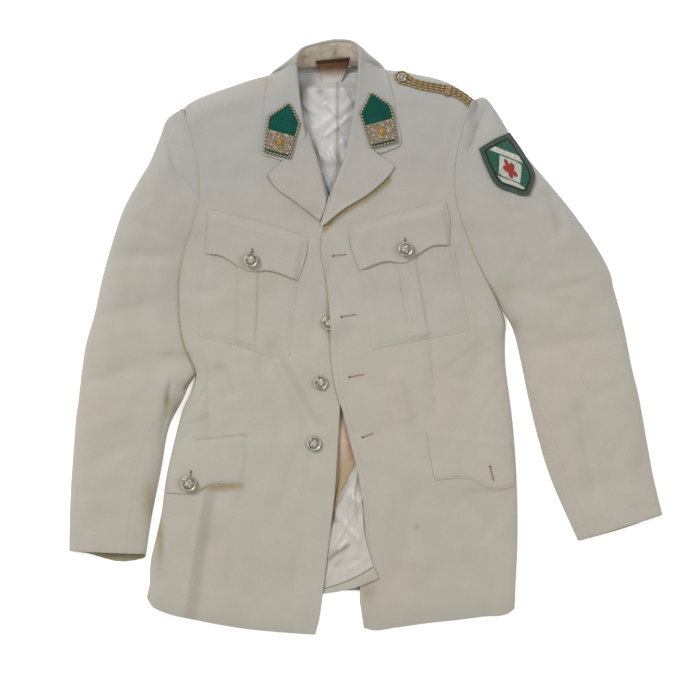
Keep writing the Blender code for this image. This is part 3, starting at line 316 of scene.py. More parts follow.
def folded(x, y, folds):
    """Sum of the soft troughs and ridges at each place."""
    total = np.zeros_like(x)
    for fold in folds:
        run_x, run_y = fold.x1 - fold.x0, fold.y1 - fold.y0
        length = math.hypot(run_x, run_y)
        along = ((x - fold.x0) * run_x + (y - fold.y0) * run_y) / length
        off = ((x - fold.x0) * run_y - (y - fold.y0) * run_x) / length
        fade = length / 3
        ends = smooth((along + fade) / fade) * smooth((length + fade - along) / fade)
        total = total + fold.depth * bell(off / fold.width) * ends
    return total


def cap(rows, at):
    """Points of the armhole seam, the inner ends of the first sleeve sections."""
    return table(rows, at)[:, 2:4]


CAP_AT = np.linspace(CAP_ROWS, 0.0, 81)
ARM_RIGHT = cap(SLEEVE_RIGHT, CAP_AT)
ARM_LEFT = cap(SLEEVE_LEFT, CAP_AT)
BACK_EDGE_RIGHT = np.vstack([curve(SIDE_RIGHT, 130)[:-1], ARM_RIGHT])
BACK_EDGE_LEFT = np.vstack([curve(SIDE_LEFT, 130)[:-1], ARM_LEFT])
FRONT_OUTER_RIGHT = np.vstack([[FOOT_RIGHT], BACK_EDGE_RIGHT])
FRONT_OUTER_LEFT = np.vstack([[FOOT_LEFT], BACK_EDGE_LEFT])

Side = namedtuple("Side", "sign outer shoulder hem front folds lap sleeve sleeve_folds lip")
RIGHT = Side(
    1, FRONT_OUTER_RIGHT, curve(SHOULDER_RIGHT), curve(HEM_RIGHT), curve(FRONT_RIGHT),
    FOLDS_RIGHT, 0.0, SLEEVE_RIGHT, FOLDS_SLEEVE_RIGHT, LIP_RIGHT,
)
LEFT = Side(
    -1, FRONT_OUTER_LEFT, curve(SHOULDER_LEFT), curve(HEM_LEFT), curve(FRONT_LEFT),
    FOLDS_LEFT, LAP, SLEEVE_LEFT, FOLDS_SLEEVE_LEFT, LIP_LEFT,
)
SIDES = (("right", RIGHT), ("left", LEFT))


def read(points, column, at):
    """One coordinate of a curve read at values of the other."""
    other = 1 - column
    order = np.argsort(points[:, other])
    return np.interp(at, points[order, other], points[order, column])


def body_loft(x, y):
    """Height of the upper layer before its edges turn down."""
    rows = np.array(LOFT, float)
    side = np.interp(y, *places(rows))
    middle = np.interp(y, rows[:, 0], rows[:, 2])
    centre = np.interp(y, rows[:, 0], rows[:, 3])
    s = np.clip(np.abs(x - CENTRE_X) / HALF_WIDTH, 0.0, 1.0)
    return centre * (1 - s) * (1 - 2 * s) + middle * 4 * s * (1 - s) + side * s * (2 * s - 1)


def from_edges(side, x, y):
    """Distances inside the side seam, the shoulder and the hem of a front."""
    from_side = np.maximum((x - read(side.outer, 0, y)) * side.sign, 0.0)
    from_top = np.maximum(read(side.shoulder, 1, x) - y, 0.0)
    return from_side, from_top, np.maximum(y - read(side.hem, 1, x), 0.0)


def plain_front(side, x, y):
    """Height of the outer face of a front."""
    from_side, from_top, from_hem = from_edges(side, x, y)
    low, high = ARMHOLE_OPEN[side.sign]
    start, span = EDGE_CHANGE
    edge = EDGE + (SHOULDER_EDGE - EDGE) * smooth((y - start) / span)
    closed = 1.0 - smooth((y - low) / (high - low))
    turn = (1 - closed * (1 - roll(from_side, SIDE_ROLL))) * roll(from_top, SHOULDER_ROLL)
    turn = turn * (HEM_REST + (1 - HEM_REST) * roll(from_hem, HEM_ROLL))
    height = edge + (body_loft(x, y) + folded(x, y, side.folds) - edge) * turn
    if side.lap:
        from_front = x - read(side.front, 0, y)
        span = np.array(LAP_SPAN)
        shown = np.interp(y, *places(span))
        height = height + side.lap * shown * (1 - smooth((from_front - LAP_FULL) / LAP_FADE))
        away = (x - BUTTON_BUMP.x) ** 2 + (y - BUTTON_BUMP.y) ** 2
        height = height + BUTTON_BUMP.rise * np.exp(-away / BUTTON_BUMP.wide ** 2)
    return np.maximum(height, edge)


def sleeve_at(side, rows_at):
    """Outer and inner ends, height, seam place and inner height of sections."""
    data = table(side.sleeve, rows_at)
    outer, inner = data[:, 0:2], data[:, 2:4]
    head = HEAD_STEP * (1 - smooth(np.asarray(rows_at) / HEAD_ROWS))
    low = front_height(side, inner[:, 0] + side.sign * head, inner[:, 1] - head)
    start, span = CAP_CLOSE[side.sign]
    shut = smooth((np.asarray(rows_at) - start) / span)
    low = low * (1 - shut) + FLOOR_ROUND * shut
    return outer, inner, data[:, 4], data[:, 5], np.maximum(low, FLOOR_ROUND)


def plain_sleeve(side, x, y, from_outer, width, loft, low):
    """Height of the sleeve's upper face at a distance from its outer edge."""
    reach = np.minimum(SLEEVE_ROLL, width * 0.5)
    rise = roll(from_outer, reach)
    s = (width - from_outer) / reach
    attached = np.clip((low - FLOOR_ROUND) / np.maximum(loft - FLOOR_ROUND, 1.0), 0.0, 1.0)
    inward = (1 - attached) * roll(s, 1.0) + attached * smooth(s)
    inner = low + (loft - low) * inward
    turn = np.clip((inner - FLOOR_ROUND) / np.maximum(loft - FLOOR_ROUND, 1.0), 0.0, 3.5)
    fold = folded(x, y, side.sleeve_folds) * np.minimum(rise, inward)
    return FLOOR_ROUND + (loft - FLOOR_ROUND) * rise * turn + fold


def sleeve_rings(side, rows_at, upper, count):
    """Rings of one sleeve piece: the upper with the outer edge, or the under one."""
    outer, inner, loft, seam, low = sleeve_at(side, rows_at)
    rings = []
    for i, at in enumerate(rows_at):
        width = float(np.linalg.norm(inner[i] - outer[i]))
        way = (inner[i] - outer[i]) / width
        hidden = max(min(UNDER_REACH, UNDER_SHARE * width), FLOOR_ROUND + THIN)
        turn = np.linspace(0.0, math.pi / 2, 7)
        arc_in, arc_up = FLOOR_ROUND * (1 - np.cos(turn)), FLOOR_ROUND * (1 - np.sin(turn))
        if upper:
            start = width - max(seam[i], 0.0) - (SEAM if at < CAP_ROWS else GAP)
            over = start * np.cos(np.linspace(0.0, math.pi / 2, 150))
        else:
            start = width if seam[i] < 1.0 else width - seam[i] + 2 * GAP
            over = np.linspace(start, width, 20)
        place = outer[i] + over[:, None] * way
        high = sleeve_height(side, place[:, 0], place[:, 1], over, width, loft[i], low[i])
        top = np.column_stack([over, high])
        if upper:
            arc = np.column_stack([arc_in, arc_up])
            bottom = np.linspace(FLOOR_ROUND, hidden, 5)
            flat = np.column_stack([bottom, 0 * bottom])[1:]
            section = resample(np.vstack([top, arc[1:], flat]), unit(count))
        else:
            near = width - (SEAM if at < CAP_ROWS else 0.0)
            top = top[top[:, 0] < width - 1e-6] if seam[i] >= 1.0 else top[:0]
            arc = np.column_stack([near - arc_in, arc_up])
            bottom = np.linspace(near - FLOOR_ROUND, hidden + GAP, 9)
            bend = resample(np.vstack([top, arc]), unit(count - UNDER_TAIL))
            flat = resample(np.column_stack([bottom, 0 * bottom])[1:], unit(UNDER_TAIL + 1))[1:]
            under = resample(np.vstack([bend[-1:], flat]), unit(UNDER_TAIL + 1))
            section = np.vstack([bend, under[1:]])
        place = outer[i] + section[:, :1] * way
        lower = 1 - smooth(section[:, 1] / (0.5 * loft[i]))
        across = bell((section[:, 0] / width - side.lip.place) / side.lip.spread)
        longer = side.lip.reach * smooth(at - len(side.sleeve) + 2) * lower * across
        ahead = side.sign * np.array([way[1], -way[0]])
        place = place + longer[:, None] * ahead
        rings.append(np.column_stack([place, section[:, 1]]))
    return np.array(rings)


def sleeve_rows(side, count):
    """Row numbers of a sleeve: the cap's, matched to the armhole, and then its tube's."""
    return np.concatenate([CAP_AT[::-1], np.linspace(CAP_ROWS, len(side.sleeve) - 1.0, count)[1:]])


def normals(grid):
    """Unit normals of a grid of points."""
    down = np.gradient(grid, axis=0)
    over = np.gradient(grid, axis=1)
    cross = np.cross(over, down)
    size = np.linalg.norm(cross, axis=2, keepdims=True)
    return cross / np.maximum(size, 1e-9)


def region(west, east, south, north, rows, columns, bend=curve):
    """Plan grid inside four short boundary tables, each bent or left straight between its points."""
    left = resample(bend(west), unit(rows))
    return patch(left, bend(east), bend(south), bend(north), unit(columns))


def straight(rows):
    """Points of a boundary with straight sides."""
    return np.array(rows, float)


def quad(south_west, south_east, north_west, north_east, rows, columns):
    """Plan grid inside four corners."""
    return region(
        [south_west, north_west], [south_east, north_east],
        [south_west, south_east], [north_west, north_east], rows, columns,
    )

INSET_FADE = (52.0, 25.0)


def inset(points, amount):
    """Side edge moved inward, fading out at the armhole."""
    moved = np.array(points, float)
    start, span = INSET_FADE
    moved[:, 0] += amount * (1 - smooth((moved[:, 1] - start) / span))
    return moved


FOLDS_LINING = [Fold(-13, 307, -60, 272, 5, 1.6), Fold(-15, 297, -54, 272, 4, -0.5)]
CENTRE_PLEAT = Fold(-41, 190, -41, 230, 5, 1.8)
LINING_SLACK = 0.2


def lining_height(x, y):
    """Upper face of the back lining, with its centre pleat."""
    across = (x - CENTRE_PLEAT.x0) / CENTRE_PLEAT.width
    grown = smooth((y - CENTRE_PLEAT.y0) / (CENTRE_PLEAT.y1 - CENTRE_PLEAT.y0))
    pleat = CENTRE_PLEAT.depth * np.exp(-across ** 2) * grown
    slant = np.maximum(folded(x, y, FOLDS_LINING), -LINING_SLACK)
    return THIN + GAP + LINING + LINING_SLACK + pleat + slant


# Breast pockets with a box pleat, and the flaps over them
POCKETS = {
    "right": (
        [(-217, 1), (-204, 163)],
        [(-99, -24), (-96, 10), (-88, 70), (-77, 127)],
        [(-217, 1), (-166, -11), (-114, -26), (-99, -24)],
        [(-204, 163), (-77, 127)],
    ),
    "left": (
        [(8, -16), (-2, 60), (-21, 140)],
        [(134, 8), (119, 90), (103, 172)],
        [(8, -16), (56, -7), (83, -2), (134, 8)],
        [(-21, 140), (103, 172)],
    ),
}
BREAST_FLAPS = {
    "right": (
        [(-209, 108), (-204, 167)],
        [(-88, 73), (-78, 105), (-75, 130)],
        [(-209, 108), (-188, 105), (-166, 92), (-150, 85), (-128, 86), (-88, 73)],
        [(-204, 167), (-141, 151), (-75, 130)],
    ),
    "left": (
        [(-9, 86), (-20, 120), (-22, 146)],
        [(108, 119), (109, 150), (102, 178)],
        [(-9, 86), (28, 98), (50, 96), (70, 109), (86, 118), (108, 119)],
        [(-22, 146), (36, 160), (102, 178)],
    ),
}
PLEAT_RISE = 1.4

# Lower flaps
LOWER_FLAPS = {
    "right": (
        [(-259.5, -202), (-257, -180), (-249, -134)],
        [(-162, -189), (-157, -160), (-158, -126)],
        [(-259.5, -202), (-225, -202), (-205, -193), (-162, -189)],
        [(-249, -134), (-215, -132), (-158, -126)],
    ),
    "left": (
        [(90, -186), (84, -157), (79, -119)],
        [(192.5, -195), (192, -165), (187, -132)],
        [(90, -186), (134, -185), (150, -192), (164, -199), (192.5, -195)],
        [(79, -119), (134, -126), (187, -132)],
    ),
}

# Lapels
LAPELS = {
    "right": (
        [(-60, 151), (-91, 175), (-120, 198), (-127, 207)],
        [(-50, 178), (-61, 224), (-69, 247), (-77, 257)],
        [(-60, 151), (-55, 163), (-50, 178)],
        [(-127, 207), (-112, 222), (-99, 229), (-87, 243), (-77, 257)],
    ),
    "left": (
        [(-58.5, 146), (-55, 158), (-50.5, 172), (-45.5, 186), (-28, 233), (-22, 262)],
        [(-56.5, 144), (-34, 162.5), (6, 188), (30, 210.5), (36.5, 220.5)],
        [(-58.5, 146), (-56.5, 144)],
        [(-22, 262), (-2, 250.5), (18, 234), (36.5, 220.5)],
    ),
}
# Lines along which the lapels turn, by side
ROLL_LINES = {
    1: curve([(-50, 178), (-61, 224), (-69, 247), (-77, 257)]),
    -1: curve([(-55, 144), (-50, 166), (-40, 200), (-28, 233), (-22, 258)]),
}
ROLL_RISE = 3.5
ROLL_FADE = 9.0
ROLL_START = 0.4
LAPEL_LIFT = 0.2
TIP_POWER = 5


def lapel_height(side, x, y):
    """Upper face of a lapel, higher where it turns at the roll line."""
    from_roll = np.abs(x - read(ROLL_LINES[side.sign], 0, y))
    turned = roll(from_roll + ROLL_START, LAPEL_ROLL)
    rise = GAP + CLOTH + ROLL_RISE * np.exp(-from_roll / ROLL_FADE)
    return front_height(side, x, y) + rise * turned + LAPEL_LIFT


# Collar
COLLAR = listed(
    Band,
    (-77.5, 260.5, 31, -106, 227.5, 0), (-79.5, 270, 31, -121, 232.5, 0), (-82, 287, 31.5, -136, 238, 0),
    (-84.5, 305, 32.5, -135, 263, 0), (-86.5, 325, 34, -132, 295, 0), (-88, 343, 35, -129, 321, 0),
    (-88.5, 353, 36, -124, 341, 0.2), (-87.5, 361, 36, -108, 354, 0.7), (-84.5, 367.5, 36, -95, 364, 1),
    (-77.5, 372.5, 36, -83, 375, 1), (-63, 376.5, 36, -65.5, 380.5, 1), (-47, 379.5, 36, -48, 385, 1),
    (-34, 380.5, 36, -34, 386, 1), (-21, 379.5, 36, -18.5, 384, 1), (-13.5, 374.5, 36, -6, 376.5, 1),
    (-10.5, 366, 36, 3, 368, 0.8), (-10.5, 352, 36, 23, 350, 0.2), (-11.5, 335, 35, 31.5, 325, 0.08),
    (-13.5, 310, 33.5, 39, 287, 0), (-17, 288, 32, 44.5, 251, 0), (-20, 272, 31, 28, 241, 0),
    (-21.5, 263, 31, 17, 237.5, 0),
)
CREST_ROUND = 3.0
LEAF_LIFT = 1.0
COLLAR_REST = 16.0
BEHIND_LIFT = 0.9
CREST_POINTS = 4
COLLAR_PULL = 0.4


def cloth_under(x, y):
    """Outer face of whichever front lies at a place."""
    left = front_height(LEFT, x, y)
    right = front_height(RIGHT, x, y)
    return np.where(x > CENTRE_X, left, right)


def collar_sections(rows_at, columns):
    """Grid of the collar fall from its rolled crest to its free edge."""
    data = table(COLLAR, rows_at)
    grid = []
    for row in data:
        start, end = row[0:2], row[3:5]
        reach = float(np.linalg.norm(end - start))
        way = (end - start) / reach
        turn = np.linspace(0.0, math.pi / 2, CREST_POINTS)
        near = CREST_ROUND * (1 - np.cos(turn))
        far = CREST_ROUND + (reach - CREST_ROUND) * eased(columns - CREST_POINTS + 1, COLLAR_PULL)[1:]
        off = np.concatenate([near, far])
        place = start + off[:, None] * way
        base = cloth_under(*places(place)) + LEAF_LIFT + CLOTH + BEHIND_LIFT * row[5]
        share = np.clip((off - CREST_ROUND) / (reach - CREST_ROUND), 0.0, 1.0)
        lying = np.exp(-np.maximum(off - CREST_ROUND, 0.0) / COLLAR_REST)
        hanging = np.sqrt(1 - share ** 2)
        hold = lying + (hanging - lying) * np.clip(row[5], 0, 1)
        high = base + (row[2] - base[0]) * hold
        high[:CREST_POINTS] -= CREST_ROUND * (1 - np.sin(turn))
        grid.append(np.column_stack([place, high]))
    return np.array(grid)

STAND_SEAM = [(-89, 348), (-72, 349), (-47, 352), (-34, 352), (-22, 351.5), (-8, 350)]
SEAM_RISE = 5.4
STAND_BEND = 0.8
STAND_ROWS = (7, 15)
LABEL_ROWS = listed(
    Band,
    (-65, 357, 17.2, -21, 361, 21.6), (-60, 345, 8.4, -25, 347, 8.8),
    (-54.5, 329.5, 5.6, -33.5, 330.5, 5.8),
)
LABEL_THICK = 0.8

# The right leaf is the collar's rows up to the first number, the left leaf those from the second
LEAF_ROWS = (6, 17)


def leaf_height(x, y):
    """Upper face of the collar leaves where they lie on the fronts."""
    rows = np.array(COLLAR, float)
    right, left = rows[:LEAF_ROWS[0]], rows[LEAF_ROWS[1]:]
    near_right = read(right[:, 0:2], 0, y)
    near_left = read(left[:, 0:2], 0, y)
    off = np.where(x < CENTRE_X, near_right - x, x - near_left)
    crest_right = np.interp(y, right[:, 1], right[:, 2])
    crest_left = np.interp(y, left[::-1, 1], left[::-1, 2])
    crest = np.where(x < CENTRE_X, crest_right, crest_left)
    roll_x = np.where(x < CENTRE_X, near_right, near_left)
    at_roll = cloth_under(roll_x, y) + LEAF_LIFT + CLOTH
    lying = np.exp(-np.maximum(off - CREST_ROUND, 0) / COLLAR_REST)
    return cloth_under(x, y) + LEAF_LIFT + CLOTH + (crest - at_roll) * lying


PATCHES = {
    "right": (
        [(-131.5, 240), (-125.5, 284.5), (-100, 301.5)],
        [(-99.5, 231.5), (-86, 276), (-96.5, 298)],
        [(-131.5, 240), (-99.5, 231.5)],
        [(-100, 301.5), (-96.5, 298)],
        (-129, 243.2), (-100, 235.4), (-126, 267.8), (-92.6, 258.6), Point(-111.7, 251),
    ),
    "left": (
        [(7.5, 244.5), (-7, 288.5), (6, 314.5)],
        [(39.5, 253), (33.5, 290), (30, 300), (10, 313.5)],
        [(7.5, 244.5), (39.5, 253)],
        [(6, 314.5), (10, 313.5)],
        (7.6, 248.4), (37.6, 256.2), (-0.8, 272.6), (33.6, 281.8), Point(20, 265),
    ),
}
PATCH_LIFT = 1.1
FELT = 1.5
BAR_THICK = 1.0
STAR_POINTS = 6
STAR_TIP = 6.5
STAR_DENT = 3.4
STAR_PEAK = 2.8
STAR_RINGS = ((0.0, 1.0), (0.7, 1.0), (0.95, 0.94))

# A sleeve's upper face is read from the nearest of this many places on it
FACE_ROWS = 161
FACE_COLUMNS = 61
FACE_EDGE = 0.5
FACE_NEAR = 6
FACE_SOFT = 0.05


def sleeve_face(side, x, y):
    """Upper face of a sleeve at places on it."""
    rows_at = np.linspace(0.0, len(side.sleeve) - 1.0, FACE_ROWS)
    outer, inner, loft, _, low = sleeve_at(side, rows_at)
    found, heights = [], []
    for i in range(len(rows_at)):
        width = float(np.linalg.norm(inner[i] - outer[i]))
        over = np.linspace(FACE_EDGE, width - FACE_EDGE, FACE_COLUMNS)
        place = outer[i] + over[:, None] * (inner[i] - outer[i]) / width
        found.append(place)
        heights.append(sleeve_height(side, place[:, 0], place[:, 1], over, width, loft[i], low[i]))
    found, heights = np.concatenate(found), np.concatenate(heights)
    flat_x, flat_y = np.ravel(x), np.ravel(y)
    away = (found[None, :, 0] - flat_x[:, None]) ** 2 + (found[None, :, 1] - flat_y[:, None]) ** 2
    near = np.argpartition(away, FACE_NEAR, axis=1)[:, :FACE_NEAR]
    weight = 1.0 / (np.take_along_axis(away, near, axis=1) + FACE_SOFT)
    return ((heights[near] * weight).sum(axis=1) / weight.sum(axis=1)).reshape(np.shape(x))


# Badge, shoulder cord and buttons
SHIELD = (
    [(192, 187), (172, 195), (155, 222), (147, 243)],
    [(210, 184), (218, 207), (205, 236), (186, 264)],
    [(192, 187), (201, 184), (210, 184)],
    [(147, 243), (167, 255), (186, 264)],
)

CORD_LINE = [(137, 302), (125, 311.5), (111, 318.5), (88, 323), (66, 327.5), (46, 336.5)]
CORD_RADIUS = 1.5
CORD_LOOPS = (("outer", 4.9, 7.8), ("inner", 1.65, 4.5))
CORD_LAY = 7.5
CORD_OPENING = 17.0
CORD_FLOOR = 10.0


def cord_loop(line, narrow, wide):
    """One loop of the cord: out along the line, round its end and back."""
    way = np.gradient(line, axis=0)
    way /= np.linalg.norm(way, axis=1, keepdims=True)
    aside = np.column_stack([-way[:, 1], way[:, 0]])
    left_over = lengths(line)[-1] - lengths(line)
    spread = narrow + (wide - narrow) * (1 - smooth(left_over / CORD_OPENING))[:, None]
    turn = np.linspace(-math.pi / 2, math.pi / 2, 7)[1:-1]
    bend = line[-1] + wide * (np.cos(turn)[:, None] * way[-1] + np.sin(turn)[:, None] * aside[-1])
    return np.vstack([line - spread * aside, bend, (line + spread * aside)[::-1]])

POCKET_LIFT = 1.3
FLAP_LIFT = 0.9
FLAP_SEWN = 0.8
FLAP_FREE = 2.0
FLAP_STACK = 2 * CLOTH + PLEAT_RISE + POCKET_LIFT + FLAP_LIFT
BUTTON_SEAT = 0.5
FLAP_AT_BUTTON = 0.8
FLAP_RISE = CLOTH + GAP + FLAP_SEWN + FLAP_AT_BUTTON * FLAP_FREE
BUTTON_THICK = 4.0
BUTTONS = [
    ("button_front_1", Point(-48, 18), 9.5, RIGHT, 0.0),
    ("button_front_2", Point(-59, -59), 9.5, RIGHT, 0.0),
    ("button_front_3", Point(-67.5, -138), 9.5, RIGHT, 0.0),
    ("button_breast_right", Point(-149, 99.5), 9.5, RIGHT, FLAP_STACK),
    ("button_breast_left", Point(51, 113.5), 9.5, LEFT, FLAP_STACK),
    ("button_flap_right", Point(-230, -190), 10.5, RIGHT, FLAP_RISE),
]
SEAT_REACH = 8.0
SHOULDER_BUTTON = Point(46, 336)
BUTTON_REACH = 6.0
SMALL_RADIUS = 5.6
SMALL_THICK = 3.0

# Inside of the skirt
SKIRT = (
    [(-55, -327), (-50, -280), (-40, -215)],
    [(9, -298), (-1, -262), (-6, -205)],
    [(-55, -327), (-33, -320), (-9, -309), (9, -298)],
    [(-40, -215), (-22, -206), (-6, -205)],
)
SKIRT_HEM = (
    [(-62, -334), (-55.6, -327.6)],
    [(16, -313), (9.4, -298.6)],
    [(-62, -334), (-35, -330), (-8, -323), (16, -313)],
    [(-55.6, -327.6), (-33, -320.6), (-9, -309.6), (9.4, -298.6)],
)

SKIRT_LIFT = 0.4
LINING_END = (-300.0, 15.0)
SKIRT_STEP = (24.0, 20.0)


def skirt_height(x, y):
    """Height of the turned skirt: low inside, above the front at its edge."""
    over = front_height(LEFT, np.maximum(x, read(LEFT.front, 0, y)), y) + GAP + LINING + SKIRT_LIFT
    start, span = LINING_END
    below = THIN + (lining_height(x, y) - THIN) * smooth((y - start) / span)
    inside = below + GAP + LINING + SKIRT_LIFT
    before, rising = SKIRT_STEP
    share = smooth((x - read(LEFT.front, 0, y) + before) / rising)
    return inside * (1 - share) + over * share


# Slow unevenness of the laid cloth
WAVES = listed(
    Wave,
    (97, 17, 0.34, 0.4), (71, 112, 0.26, 2.1), (53, 63, 0.20, 4.4), (37, 148, 0.13, 1.2),
    (29, 81, 0.09, 5.3), (143, 96, 0.40, 3.0),
)

# Yellowed and soiled places, and painted shadows: under the right lower flap's edge, and on the
# right sleeve in the notch by the body and in the shaded wedge beside its fold
STAINS_AND_SHADOWS = listed(
    Spot,
    (-267, -266, 5, 27, 0.75), (-200, -196, 20, 4, 0.4), (150, -198, 26, 4, 0.25), (66, -247, 3.5, 4, 0.5),
    (51, -354, 3.5, 4, 0.55), (3, -330, 9, 14, 0.4), (-5, -356, 5, 6, 0.6), (-130, 330, 30, 8, 0.12),
    (180, 60, 20, 16, 0.2), (-250, -22, 20, 5, 0.3), (-258, -80, 5, 13, 0.6), (-280, -216, 9, 26, 0.62),
    (-248, -94, 8, 18, 0.5), (-365, 60, 8, 60, 0.1), (300, 130, 30, 20, 0.1), (352, -140, 8, 50, 0.12),
    (17, 237, 2, 3, 0.5), (247, 155, 4, 15, 0.25), (191, 14, 8, 9, 0.4), (-150, -300, 60, 30, 0.08),
    (90, -290, 70, 40, 0.08), (-80, 164, 24, 6, 0.25),
)
STAIN_AND_SHADOW_LINES = listed(
    Fold,
    (-52, 90, -47, 10, 2.2, 0.25), (-206, -46, -206, -118, 0.9, 0.22), (83, -12, 88.5, -84, 0.9, 0.2),
    (-235, -66, -224, -52, 2.4, 0.95), (-214.5, -132.6, -157, -126.8, 0.9, 0.6),
)


def waved(x, y):
    """Slow unevenness at each place, up to about a millimetre."""
    total = np.zeros_like(x)
    for wave in WAVES:
        angle = math.radians(wave.angle)
        run = (x * math.cos(angle) + y * math.sin(angle)) * 2 * math.pi / wave.length
        total = total + wave.height * np.sin(run + wave.phase + 0.8 * np.sin(run * 0.37 + 2 * wave.phase))
    return total


def stained_and_shaded(x, y):
    """How yellowed the cloth is at each place, with its painted shadows, from 0 to 1."""
    clean = np.ones_like(x)
    for spot in STAINS_AND_SHADOWS:
        away = ((x - spot.x) / spot.wide) ** 2 + ((y - spot.y) / spot.high) ** 2
        clean = clean * (1 - spot.amount * np.exp(-away))
    for line in STAIN_AND_SHADOW_LINES:
        clean = clean * (1 - np.clip(folded(x, y, [line]), 0, 1))
    return 1 - clean


def away_from(line, x, y):
    """Distance of each place from a line of points."""
    found = np.full(np.shape(x), 1e9)
    for point in line:
        found = np.minimum(found, np.hypot(x - point[0], y - point[1]))
    return found


def perimeter(rows, columns):
    """Ordered border places of a grid, each with the place next to it inside."""
    loop = [(0, j) for j in range(columns)] + [(i, columns - 1) for i in range(1, rows)]
    loop += [(rows - 1, j) for j in range(columns - 2, -1, -1)] + [(i, 0) for i in range(rows - 2, 0, -1)]
    border = np.array(loop)
    inside = np.clip(border, 1, [rows - 2, columns - 2])
    return border, inside


def make(name, points, faces, finish, marks=None, fair=True):
    """Mesh object in metres that rides on the root body."""
    mesh = bpy.data.meshes.new(name)
    mesh.from_pydata((np.asarray(points, float) * MM).tolist(), [], faces)
    mesh.update()
    for key, values in (marks or {}).items():
        layer = mesh.attributes.new(key, "FLOAT", "POINT")
        layer.data.foreach_set("value", np.ascontiguousarray(values, dtype=np.float32))
    mesh.polygons.foreach_set("use_smooth", [fair] * len(mesh.polygons))
    mesh.materials.append(finish)
    piece = bpy.data.objects.new(name, mesh)
    bpy.context.scene.collection.objects.link(piece)
    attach(piece, "root")
    return piece


def ring_faces(count, sides, first=0):
    """Quads between rings of points that follow one another."""
    faces = []
    for near in range(first, first + (count - 1) * sides, sides):
        for k in range(sides):
            a, b = near + k, near + (k + 1) % sides
            faces.append([a, b, b + sides, a + sides])
    return faces


RIM_STEPS = 3


def shell(name, grid, thickness, finish, marks=None, facing=None):
    """Closed thin piece on an outer grid, with a rounded rim all round."""
    rows, columns = grid.shape[:2]
    out = normals(grid) if facing is None else facing
    if facing is None and out[..., 2].mean() < 0:
        out = -out
    inner = grid - out * thickness
    inner[..., 2] = np.maximum(inner[..., 2], 0.0)
    border, inside = perimeter(rows, columns)
    top, low = grid[border[:, 0], border[:, 1]], inner[border[:, 0], border[:, 1]]
    away = top - grid[inside[:, 0], inside[:, 1]]
    away /= np.maximum(np.linalg.norm(away, axis=1, keepdims=True), 1e-6)
    rims = []
    for step in range(1, RIM_STEPS + 1):
        turn = math.pi * step / (RIM_STEPS + 1)
        centre, reach = (top + low) / 2, (top - low) / 2
        ring = centre + reach * math.cos(turn) + away * (thickness / 2) * math.sin(turn)
        ring[:, 2] = np.maximum(ring[:, 2], 0.0)
        rims.append(ring)
    points = np.vstack([grid.reshape(-1, 3), inner.reshape(-1, 3)] + rims)
    count, around = rows * columns, len(border)
    index = np.arange(count).reshape(rows, columns)
    corners = [index[:-1, :-1], index[:-1, 1:], index[1:, 1:], index[1:, :-1]]
    quads = np.stack(corners, axis=-1).reshape(-1, 4)
    edge = border[:, 0] * columns + border[:, 1]
    bands = [edge] + [2 * count + k * around + np.arange(around) for k in range(RIM_STEPS)] + [edge + count]
    faces = [quads, quads[:, ::-1] + count]
    for a, b in zip(bands[:-1], bands[1:]):
        faces.append(np.stack([np.roll(a, -1), a, b, np.roll(b, -1)], axis=-1))
    faces = np.vstack(faces)
    a, b, c, d = (points[faces[:, k]] for k in range(4))
    volume = (np.cross(b - a, c - a) * a).sum() + (np.cross(c - a, d - a) * a).sum()
    if volume < 0:
        faces = faces[:, ::-1]
    spread = {}
    for key, values in (marks or {}).items():
        flat = np.ravel(values)
        spread[key] = np.concatenate([flat, flat] + [flat[edge]] * RIM_STEPS)
    return make(name, points, faces.tolist(), finish, spread)


def cloth_marks(grid, stain_and_shade=0.0, shade_seam_and_dirt=0.0):
    """Values of a cloth piece: stains with painted shadows, and painted shade with dark seams and dirt."""
    x, y = places(grid)
    both = 1 - (1 - stained_and_shaded(x, y)) * (1 - stain_and_shade)
    return {"stain_and_shade": both, "shade_seam_and_dirt": np.broadcast_to(shade_seam_and_dirt, x.shape)}


# Materials
def srgb(*values):
    """Linear colour with alpha from display values of 0 to 255."""
    shares = [v / 255 for v in values]
    return [s / 12.92 if s <= 0.04045 else ((s + 0.055) / 1.055) ** 2.4 for s in shares] + [1.0]


